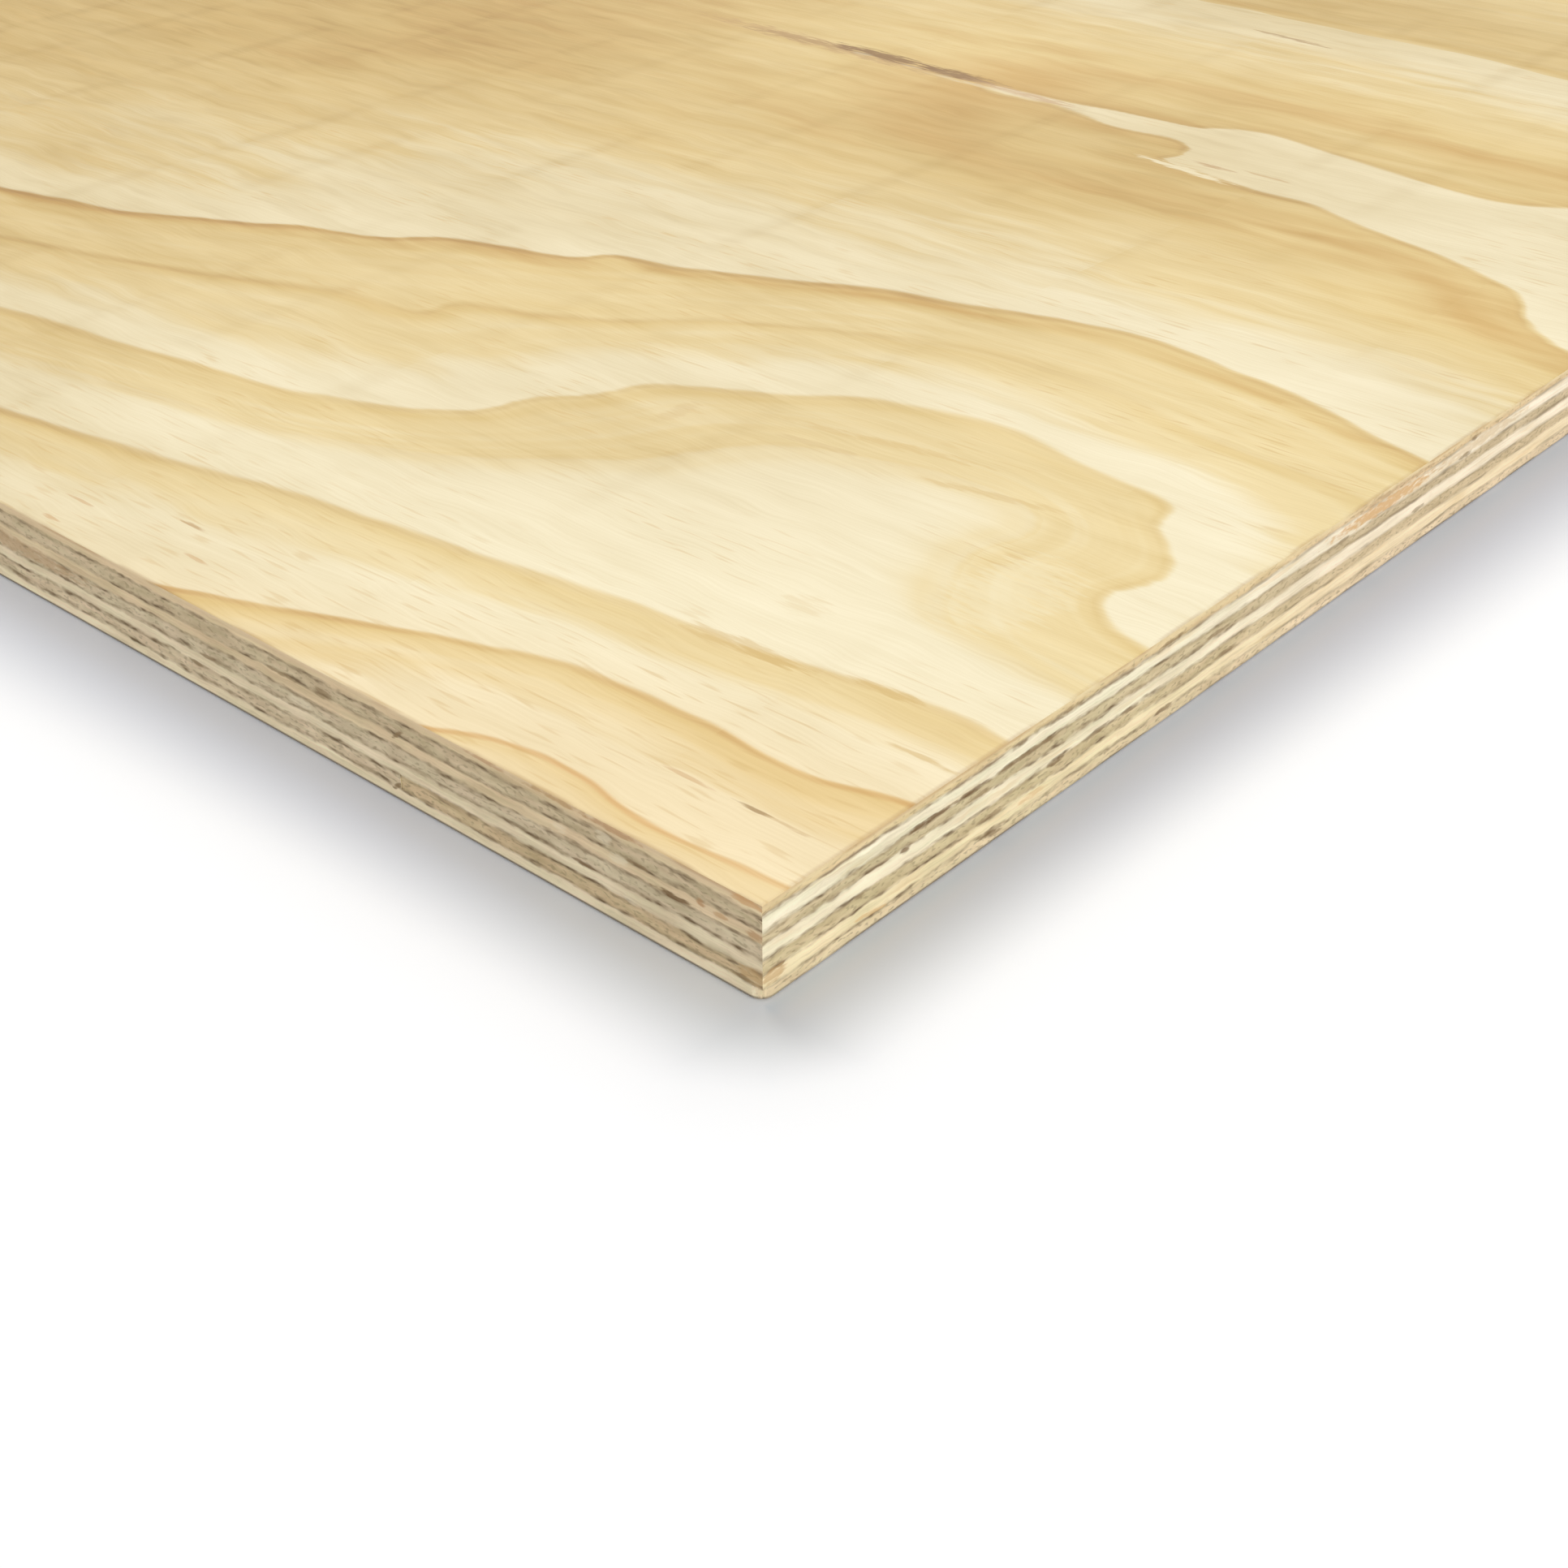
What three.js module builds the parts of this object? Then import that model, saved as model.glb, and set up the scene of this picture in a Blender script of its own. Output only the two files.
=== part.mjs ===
// Softwood plywood sheet: seven rotary-cut pine veneers, glued and pressed with the grain of
// each one laid across the grain of the one below it, sanded on the face and sawn square.
//
// Units are millimetres, +Z is up. The origin is the centre of the underside. +X runs along the
// length of the sheet, which is also the direction of the face grain, and +Y across it.
//
// Every ply is one full-size veneer, except the lower crossband, which is two veneers butted edge
// to edge. Plies touch face to face.
import * as THREE from "three";

// Sheet, over all
const SHEET_LENGTH = 2440;
const SHEET_WIDTH = 1220;

// Veneer thicknesses after pressing and sanding
const FACE_THICKNESS = 1.8;
const CROSSBAND_THICKNESS = 3.1;
const CORE_THICKNESS = 2.3;
const BACK_THICKNESS = 2.3;

// The joint in the lower crossband runs across the sheet, parallel to the +X end
const JOINT_FROM_END = 82.5;
const JOINT_GAP = 0.3;

// The back veneer's corner at (+X, -Y) is worn round by handling
const CORNER_WEAR_RADIUS = 2.5;
const CORNER_WEAR_STEPS = 6;

// Veneer colours: the flat-cut faces, crossbands whose long edges show end grain, cores
const FACE_COLOUR = 0xecd9a6;
const CROSSBAND_COLOUR = 0xb3a78c;
const CORE_COLOUR = 0xd9c7a0;
const BACK_COLOUR = 0xe0cb9a;
const SANDED_ROUGHNESS = 0.62;
const SAWN_ROUGHNESS = 0.85;

const HALF_LENGTH = SHEET_LENGTH / 2;
const HALF_WIDTH = SHEET_WIDTH / 2;

function veneerMaterial(colour, roughness) {
  return new THREE.MeshStandardMaterial({ color: colour, roughness, metalness: 0 });
}

const faceMaterial = veneerMaterial(FACE_COLOUR, SANDED_ROUGHNESS);
const crossbandMaterial = veneerMaterial(CROSSBAND_COLOUR, SAWN_ROUGHNESS);
const coreMaterial = veneerMaterial(CORE_COLOUR, SAWN_ROUGHNESS);
const backMaterial = veneerMaterial(BACK_COLOUR, SANDED_ROUGHNESS);

// The outline of a veneer that spans the width of the sheet between two places along it
function spanOutline(fromX, toX) {
  const outline = new THREE.Shape();
  outline.moveTo(fromX, -HALF_WIDTH);
  outline.lineTo(toX, -HALF_WIDTH);
  outline.lineTo(toX, HALF_WIDTH);
  outline.lineTo(fromX, HALF_WIDTH);
  outline.closePath();
  return outline;
}

// The outline of a full-size veneer with its (+X, -Y) corner worn to a radius
function wornOutline(radius) {
  const outline = new THREE.Shape();
  outline.moveTo(-HALF_LENGTH, -HALF_WIDTH);
  outline.lineTo(HALF_LENGTH - radius, -HALF_WIDTH);
  outline.absarc(HALF_LENGTH - radius, -HALF_WIDTH + radius, radius, -Math.PI / 2, 0, false);
  outline.lineTo(HALF_LENGTH, HALF_WIDTH);
  outline.lineTo(-HALF_LENGTH, HALF_WIDTH);
  outline.closePath();
  return outline;
}

// A veneer between two levels. Both levels go into the vertices as they are, so that two plies
// that share a level meet on exactly one plane.
function veneerBetween(outline, bottom, top) {
  const geometry = new THREE.ExtrudeGeometry(outline, {
    depth: 1,
    bevelEnabled: false,
    curveSegments: CORNER_WEAR_STEPS,
  });
  const position = geometry.getAttribute("position");
  for (let i = 0; i < position.count; i += 1) {
    position.setZ(i, position.getZ(i) > 0.5 ? top : bottom);
  }
  geometry.computeVertexNormals();
  return geometry;
}

const fullOutline = spanOutline(-HALF_LENGTH, HALF_LENGTH);
const jointLine = HALF_LENGTH - JOINT_FROM_END;

// The lay-up, from the underside to the face, each ply with the veneers that it is made of
const LAY_UP = [
  {
    thickness: BACK_THICKNESS,
    material: backMaterial,
    veneers: [{ name: "back_veneer", outline: wornOutline(CORNER_WEAR_RADIUS) }],
  },
  {
    thickness: CROSSBAND_THICKNESS,
    material: crossbandMaterial,
    veneers: [
      { name: "lower_crossband_1", outline: spanOutline(-HALF_LENGTH, jointLine - JOINT_GAP / 2) },
      { name: "lower_crossband_2", outline: spanOutline(jointLine + JOINT_GAP / 2, HALF_LENGTH) },
    ],
  },
  {
    thickness: CORE_THICKNESS,
    material: coreMaterial,
    veneers: [{ name: "lower_core", outline: fullOutline }],
  },
  {
    thickness: CROSSBAND_THICKNESS,
    material: crossbandMaterial,
    veneers: [{ name: "centre_crossband", outline: fullOutline }],
  },
  {
    thickness: CORE_THICKNESS,
    material: coreMaterial,
    veneers: [{ name: "upper_core", outline: fullOutline }],
  },
  {
    thickness: CROSSBAND_THICKNESS,
    material: crossbandMaterial,
    veneers: [{ name: "upper_crossband", outline: fullOutline }],
  },
  {
    thickness: FACE_THICKNESS,
    material: faceMaterial,
    veneers: [{ name: "face_veneer", outline: fullOutline }],
  },
];

const sheet = new THREE.Group();
sheet.name = "plywood_sheet";

let level = 0;
for (const ply of LAY_UP) {
  const top = level + ply.thickness;
  for (const veneer of ply.veneers) {
    const mesh = new THREE.Mesh(veneerBetween(veneer.outline, level, top), ply.material);
    mesh.name = veneer.name;
    sheet.add(mesh);
  }
  level = top;
}

export default sheet;
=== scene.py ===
"""Looks of a softwood plywood sheet: a sanded pine face, sawn edges and a plain back.

Lengths in names that end in _mm are millimetres. Everything that is placed is in metres, in the
frame of the sheet: +X along its length, +Y across it, +Z up, origin at the middle of the underside.
"""

import logging
import math
from dataclasses import dataclass, field, replace
from enum import Enum
from functools import partial

import bpy
import numpy as np
from mathutils import Color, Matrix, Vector


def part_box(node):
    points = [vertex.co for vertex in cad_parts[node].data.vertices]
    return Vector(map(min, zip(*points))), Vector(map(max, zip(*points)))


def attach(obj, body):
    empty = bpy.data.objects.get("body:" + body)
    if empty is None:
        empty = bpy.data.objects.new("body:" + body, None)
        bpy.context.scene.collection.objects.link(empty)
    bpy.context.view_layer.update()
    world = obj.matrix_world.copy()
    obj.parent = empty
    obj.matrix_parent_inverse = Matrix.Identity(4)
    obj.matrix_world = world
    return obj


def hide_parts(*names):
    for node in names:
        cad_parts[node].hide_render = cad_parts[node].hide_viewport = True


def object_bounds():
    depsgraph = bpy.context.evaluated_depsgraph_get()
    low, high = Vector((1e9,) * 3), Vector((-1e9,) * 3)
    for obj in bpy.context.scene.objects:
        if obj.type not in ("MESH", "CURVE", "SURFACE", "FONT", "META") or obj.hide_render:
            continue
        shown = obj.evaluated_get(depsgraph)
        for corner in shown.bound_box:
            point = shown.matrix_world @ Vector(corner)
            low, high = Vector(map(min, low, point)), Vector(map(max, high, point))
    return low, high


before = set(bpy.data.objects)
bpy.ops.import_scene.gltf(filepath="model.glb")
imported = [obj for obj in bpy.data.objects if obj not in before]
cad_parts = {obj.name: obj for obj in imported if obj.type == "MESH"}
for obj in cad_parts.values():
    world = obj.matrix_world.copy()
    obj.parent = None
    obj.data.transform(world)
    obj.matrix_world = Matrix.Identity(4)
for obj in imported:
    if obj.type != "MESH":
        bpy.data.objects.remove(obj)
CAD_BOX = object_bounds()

LOG = logging.getLogger("plywood_sheet")
MM = 0.001
MM_A_METRE = 1000

Colour = tuple[float, float, float]
Point = tuple[float, float]
Spot = tuple[float, float, float]

BLACK: Colour = (0.0, 0.0, 0.0)
WHITE: Colour = (1.0, 1.0, 1.0)

# How far apart the noises of two seeds that differ by one are cut
SEED_STEP = (13.7, 7.3)

# A ring's start may be below 0, so this is added while it is in a colour's channel
START_SHIFT = 0.5


def linear(red: int, green: int, blue: int) -> Colour:
    """Turns a colour as a screen shows it into the linear values of a shader.

    Args:
        red: the red channel, 0 to 255.
        green: the green channel.
        blue: the blue channel.

    Returns:
        The linear colour.
    """
    shown = Color((red / 255, green / 255, blue / 255))
    return tuple(shown.from_srgb_to_scene_linear())


# --- Nodes ---------------------------------------------------------------------------------------


def fill_ramp(ramp: bpy.types.ColorRamp, stops: list[tuple[float, Colour]]) -> None:
    """Fills a colour ramp.

    Args:
        ramp: the ramp.
        stops: positions from 0 to 1 in rising order, each with its colour.
    """
    while len(ramp.elements) > 1:
        ramp.elements.remove(ramp.elements[-1])
    ramp.elements[0].position = stops[0][0]
    ramp.elements[0].color = (*stops[0][1], 1)
    for position, colour in stops[1:]:
        ramp.elements.new(position).color = (*colour, 1)


def add_node(tree: bpy.types.NodeTree, kind: str, settings: dict, inputs: dict) -> bpy.types.Node:
    """Adds a node to a tree.

    Args:
        tree: the tree.
        kind: the node's type.
        settings: its properties, set before its sockets. "stops" and "spread" are a ramp's stops
            and how the colour runs from one to the next.
        inputs: values or other nodes' outputs, by the socket's name or number.

    Returns:
        The node.
    """
    made = tree.nodes.new(kind)
    for name, value in settings.items():
        if name == "stops":
            fill_ramp(made.color_ramp, value)
        elif name == "spread":
            made.color_ramp.interpolation = value
        else:
            setattr(made, name, value)
    for name, value in inputs.items():
        socket = made.inputs[name]
        if isinstance(value, bpy.types.NodeSocket):
            tree.links.new(value, socket)
        elif socket.type == "RGBA":
            socket.default_value = (*value, 1)
        else:
            socket.default_value = value
    return made


class Port:
    """An output of a shader node that can be used in Python expressions."""

    def __init__(self, graph: "Graph", socket: bpy.types.NodeSocket) -> None:
        """Wraps a socket.

        Args:
            graph: the graph that the socket's node is in.
            socket: the output socket.
        """
        self.graph = graph
        self.socket = socket

    def _math(self, operation: str, *values: "Port | float") -> "Port":
        """Adds a Math node with its inputs in the order given."""
        return self.graph.node("ShaderNodeMath", {"operation": operation}, dict(enumerate(values)))

    def __add__(self, other: "Port | float") -> "Port":
        """self + other"""
        return self._math("ADD", self, other)

    __radd__ = __add__

    def __sub__(self, other: "Port | float") -> "Port":
        """self - other"""
        return self._math("SUBTRACT", self, other)

    def __rsub__(self, other: float) -> "Port":
        """other - self"""
        return self._math("SUBTRACT", other, self)

    def __mul__(self, other: "Port | float") -> "Port":
        """self * other"""
        return self._math("MULTIPLY", self, other)

    __rmul__ = __mul__

    def __truediv__(self, other: "Port | float") -> "Port":
        """self / other"""
        return self._math("DIVIDE", self, other)

    def fract(self) -> "Port":
        """The part after the decimal point."""
        return self._math("FRACT", self)

    def size(self) -> "Port":
        """The value without its sign."""
        return self._math("ABSOLUTE", self)

    def least(self, other: "Port | float") -> "Port":
        """The smaller of two values."""
        return self._math("MINIMUM", self, other)

    def most(self, other: "Port | float") -> "Port":
        """The larger of two values."""
        return self._math("MAXIMUM", self, other)

    def step(self, start: float, end: float) -> "Port":
        """A smooth step, 0 at start and 1 at end, which may lie either way round.

        Args:
            start: the value at which the step is 0.
            end: the value at which the step is 1.

        Returns:
            The step.
        """
        low, high = min(start, end), max(start, end)
        inputs = {"Value": self, "From Min": low, "From Max": high}
        smooth = {"interpolation_type": "SMOOTHSTEP"}
        rising = self.graph.node("ShaderNodeMapRange", smooth, inputs)
        return rising if end > start else 1 - rising

    def about(self, width: "Port | float") -> "Port":
        """A smooth step of a given width about 0."""
        return (self / width + 0.5).step(0, 1)


class Graph:
    """The node tree of one material or of the world."""

    def __init__(self, owner: "bpy.types.Material | bpy.types.World") -> None:
        """Empties the owner's tree.

        Args:
            owner: the material or world to build in.
        """
        owner.use_nodes = True
        self.tree = owner.node_tree
        self.tree.nodes.clear()

    def node(self, kind: str, settings: dict, inputs: dict, output: "str | int" = 0) -> Port:
        """Adds a node.

        Args:
            kind: the node's type.
            settings: its properties, as add_node takes them.
            inputs: values or ports, by the socket's name or number.
            output: the output that is wanted.

        Returns:
            That output.
        """
        sockets = {
            key: value.socket if isinstance(value, Port) else value for key, value in inputs.items()
        }
        return Port(self, add_node(self.tree, kind, settings, sockets).outputs[output])

    def ramp(self, value: Port, stops: list[tuple[float, Colour]], spread: str = "LINEAR") -> Port:
        """A colour ramp's colour at a value."""
        return self.node("ShaderNodeValToRGB", {"spread": spread, "stops": stops}, {0: value})

    def blend(
        self, factor: "Port | float", first: "Port | Colour", second: "Port | Colour",
        mode: str = "MIX",
    ) -> Port:
        """Mixes two colours.

        Args:
            factor: 0 for the first colour, 1 for the second.
            first: a colour.
            second: a colour.
            mode: how they blend.

        Returns:
            The mixed colour.
        """
        settings = {"data_type": "RGBA", "blend_type": mode, "clamp_factor": True}
        return self.node("ShaderNodeMix", settings, {0: factor, 6: first, 7: second}, 2)

    def shade(self, factor: "Port | float", colour: Port, wash: "Port | Colour") -> Port:
        """Multiplies a colour by a wash, not at all at factor 0 and fully at 1."""
        return self.blend(factor, colour, wash, "MULTIPLY")

    def lerp(self, factor: Port, first: "Port | float", second: "Port | float") -> Port:
        """Mixes two numbers."""
        return self.node("ShaderNodeMix", {"data_type": "FLOAT"}, {0: factor, 2: first, 3: second})

    def noise(
        self, x: "Port | float", y: "Port | float", seed: float, detail: float, roughness: float
    ) -> Port:
        """Smooth noise about 0.5.

        Args:
            x: place along the first axis, one unit to a lump.
            y: place along the second axis.
            seed: where the noise is cut, fixed for each use.
            detail: how many finer layers it has.
            roughness: how strong the finer layers are.

        Returns:
            The noise.
        """
        moved = {0: x + seed * SEED_STEP[0], 1: y + seed * SEED_STEP[1]}
        place = self.node("ShaderNodeCombineXYZ", {}, moved)
        inputs = {"Vector": place, "Scale": 1.0, "Detail": detail, "Roughness": roughness}
        return self.node("ShaderNodeTexNoise", {"noise_dimensions": "2D"}, inputs)

    def parts(self, value: Port, kind: str = "Color") -> tuple[Port, ...]:
        """A colour's three channels, or the three axes of a vector where kind is XYZ."""
        outputs = self.node(f"ShaderNodeSeparate{kind}", {}, {0: value}).socket.node.outputs
        return tuple(Port(self, socket) for socket in outputs)

    def finish(self, shader: Port, kind: str = "Material") -> None:
        """Makes a shader the surface of the material, or of the world where kind is World."""
        self.tree.links.new(
            shader.socket, self.tree.nodes.new(f"ShaderNodeOutput{kind}").inputs["Surface"]
        )


# --- Sizes read from the solids ------------------------------------------------------------------


@dataclass(frozen=True)
class SheetSizes:
    """The sheet's size and the levels of its glue lines, as the solids have them."""

    half_length_mm: float
    half_width_mm: float
    thickness_mm: float
    glue_levels_mm: tuple[float, ...]

    @classmethod
    def of_frame(cls) -> "SheetSizes":
        """Measures the solids.

        Returns:
            The sizes.
        """
        low, high = CAD_BOX
        tops = {round(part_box(name)[1][2] / MM, 3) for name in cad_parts}
        levels = tuple(sorted(tops))[:-1]
        return cls(high[0] / MM, high[1] / MM, (high[2] - low[2]) / MM, levels)

    def share(self, level_mm: float) -> float:
        """A height above the underside as a share of the thickness."""
        return level_mm / self.thickness_mm


# --- Growth rings of the face --------------------------------------------------------------------


@dataclass(frozen=True)
class RingLine:
    """The late edge of one growth ring where the knife cut through it.

    Points are (u, v): millimetres from the +X end and from the -Y edge.
    """

    ring: int
    points: tuple[Point, ...]


@dataclass(frozen=True)
class RingLook:
    """How one growth ring shows where it is cut flat.

    strength is how dark its late wood is beside its line, and body how dark it is further in.
    start is the share of the ring at which late wood sets in, and below 0 it fills the ring. line
    is how dark and crisp its late edge is, and fade the share of the ring over which it sets in.
    """

    strength: float
    body: float
    start: float
    line: float
    fade: float = 0.36

    def first_tone(self) -> float:
        """How dark the ring is where it begins, just past the line of the ring before it."""
        return self.body if self.start < 0 else 0.0


FACE_RINGS = (
    RingLine(1, ((75, 1), (60, 6), (45, 7), (25, 5), (0, 6))),
    RingLine(2, ((150, 0), (120, 12), (90, 24), (75, 29), (50, 32), (20, 31), (0, 36))),
    RingLine(
        3,
        ((300, 4), (240, 25), (200, 32), (160, 41), (120, 46), (90, 51), (55, 54), (25, 60),
         (0, 60)),
    ),
    RingLine(
        4,
        ((290, 38), (240, 48), (200, 55), (160, 68), (135, 85), (120, 98), (112, 112),
         (100, 123), (85, 128), (60, 133), (48, 131), (42, 120), (40, 95), (28, 83), (0, 80)),
    ),
    RingLine(
        5,
        ((450, 8), (350, 40), (290, 57), (250, 63), (200, 72), (175, 82), (166, 88), (161, 95),
         (159, 104), (152, 111), (149, 119), (144, 127), (125, 137), (108, 149), (85, 157),
         (68, 158), (50, 154), (28, 149), (22, 138), (15, 130), (17, 113), (8, 102), (0, 100)),
    ),
    RingLine(
        6,
        ((560, 20), (450, 55), (330, 85), (300, 93), (270, 104), (240, 116), (215, 120),
         (212, 130), (195, 137), (180, 145), (165, 158), (150, 168), (130, 178), (110, 186),
         (90, 189), (60, 188), (35, 182), (15, 181), (0, 178)),
    ),
    RingLine(
        7,
        ((640, 12), (560, 48), (450, 84), (365, 105), (330, 114), (300, 128), (275, 141),
         (262, 145), (250, 156), (215, 168), (208, 176), (190, 181), (160, 194), (145, 202),
         (120, 208), (100, 215), (85, 218), (50, 215), (25, 209), (0, 201)),
    ),
    RingLine(
        8,
        ((228, 350), (212, 348), (183, 346), (160, 346), (150, 343), (146, 336), (149, 329),
         (140, 325), (129, 326), (115, 323), (102, 323), (88, 319), (73, 315), (56, 311),
         (40, 305), (27, 298), (22, 288), (10, 277), (0, 272)),
    ),
    RingLine(
        8,
        ((228, 352), (210, 355), (172, 357), (159, 358), (153, 362), (143, 367), (134, 368),
         (121, 364), (105, 362), (84, 358), (65, 356), (47, 365), (20, 372), (0, 384)),
    ),
    RingLine(7, ((420, 492), (320, 486), (230, 481), (170, 479), (100, 474), (0, 468))),
)

# Heights between the lines: the pale tongue, the broad honey band and the pale wood below it
FACE_RING_HEIGHTS = (
    ((85, 100), 3.4), ((60, 75), 3.2), ((110, 75), 3.3), ((20, 72), 3.3), ((200, 95), 5.5),
    ((280, 80), 5.5), ((60, 172), 5.55), ((20, 142), 5.15), ((5, 125), 5.2), ((90, 243), 7.42),
    ((50, 240), 7.35), ((14, 260), 7.62), ((100, 268), 7.55), ((60, 262), 7.58), ((60, 285), 7.72),
    ((20, 240), 7.4), ((22, 222), 7.15), ((200, 215), 7.2), ((300, 180), 7.3), ((150, 250), 7.48),
    ((150, 290), 7.78), ((200, 260), 7.62), ((250, 240), 7.56), ((300, 220), 7.42),
    ((350, 200), 7.55), ((400, 160), 7.42), ((400, 220), 7.68), ((250, 190), 7.22),
    ((250, 290), 7.78), ((300, 280), 7.75), ((350, 260), 7.76), ((470, 220), 7.74),
    ((350, 310), 7.86), ((450, 290), 7.84), ((400, 355), 7.92), ((300, 356), 7.93),
    ((250, 352), 7.95), ((170, 352), 8.08), ((110, 340), 8.2), ((60, 333), 8.22), ((20, 325), 8.25),
    ((150, 398), 7.78), ((250, 400), 7.75), ((150, 430), 7.5), ((150, 455), 7.35),
    ((150, 520), 6.7), ((150, 545), 6.1), ((150, 600), 6.05), ((350, 590), 6.1), ((620, 130), 7.35),
)

# The looks of the rings from the lowest up
RING_LOOKS = (
    RingLook(0.26, 0.14, 0.30, 0.85, 0.18), RingLook(0.64, 0.24, 0.45, 0.85, 0.24),
    RingLook(0.56, 0.30, 0.52, 0.45, 0.28), RingLook(0.24, 0.16, 0.75, 0.10),
    RingLook(0.62, 0.36, -0.30, 0.26, 0.30), RingLook(0.62, 0.32, 0.45, 0.26),
    RingLook(1.00, 0.46, -0.30, 0.62, 0.34), RingLook(0.90, 0.72, 0.50, 0.35, 0.70),
    RingLook(0.50, 0.40, 0.60, 0.30), RingLook(0.70, 0.50, 0.50, 0.40),
)

# How brown the wood is, from 0 for the palest to 1, at places on the face
FACE_BROWNNESS = (
    ((0, 0), 0.0), ((60, 18), 0.10), ((60, 75), 0.03), ((90, 95), 0.26), ((10, 140), 0.0),
    ((110, 45), 0.06), ((110, 207), 0.35), ((45, 205), 0.0), ((20, 240), 0.3), ((100, 240), 0.25),
    ((20, 275), 0.0), ((0, 320), 0.45), ((165, 90), 0.42), ((25, 42), 0.10), ((228, 372), 0.14),
    ((330, 125), 0.66), ((100, 130), 0.32), ((90, 388), 0.24), ((180, 15), 0.34), ((250, 60), 0.45),
    ((250, 25), 0.55), ((200, 60), 0.2), ((200, 155), 0.25), ((200, 200), 0.52), ((250, 190), 0.7),
    ((300, 150), 0.55), ((350, 200), 0.65), ((400, 160), 0.8), ((400, 215), 0.74),
    ((400, 100), 0.65), ((100, 320), 0.5), ((140, 352), 0.68), ((200, 345), 0.52),
    ((200, 300), 0.6), ((250, 240), 0.46), ((350, 280), 0.86), ((200, 388), 0.32),
    ((520, 200), 1.0), ((470, 230), 1.0), ((420, 290), 0.95), ((150, 430), 0.34), ((200, 500), 1.0),
    ((100, 500), 0.65), ((150, 580), 0.2), ((700, 0), 0.6), ((1300, 200), 0.5), ((1300, 1000), 0.5),
    ((2300, 600), 0.5),
)


@dataclass(frozen=True)
class SmoothField:
    """A smooth field over the face through values at scattered places (a thin-plate spline).

    A length along the grain counts as its stretch times one across it, and ease is how little the
    field may miss its values. least keeps the logarithm finite.
    """

    places: np.ndarray
    values: np.ndarray
    stretch: float = 0.45
    ease: float = 1e-4
    unit_mm: float = 100.0
    least: float = 1e-12

    def at(self, u: np.ndarray, v: np.ndarray) -> np.ndarray:
        """Works the field out.

        Args:
            u: distances from the +X end, in millimetres.
            v: distances from the -Y edge, in millimetres.

        Returns:
            The field's value at each place.
        """
        scale = np.array([self.stretch, 1.0]) / self.unit_mm
        known = self.places * scale
        count = len(known)
        square = self._kernel(known, known) + self.ease * np.eye(count)
        flat = np.hstack([np.ones((count, 1)), known])
        system = np.block([[square, flat], [flat.T, np.zeros((3, 3))]])
        weights = np.linalg.solve(system, np.concatenate([self.values, np.zeros(3)]))
        wanted = np.stack([u.ravel(), v.ravel()], 1) * scale
        found = self._kernel(wanted, known) @ weights[:count]
        found += weights[count] + wanted @ weights[count + 1 :]
        return found.reshape(u.shape)

    def _kernel(self, a: np.ndarray, b: np.ndarray) -> np.ndarray:
        """r squared times log r between each pair of places."""
        squared = ((a[:, None, :] - b[None, :, :]) ** 2).sum(2)
        return 0.5 * squared * np.log(squared + self.least)


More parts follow.
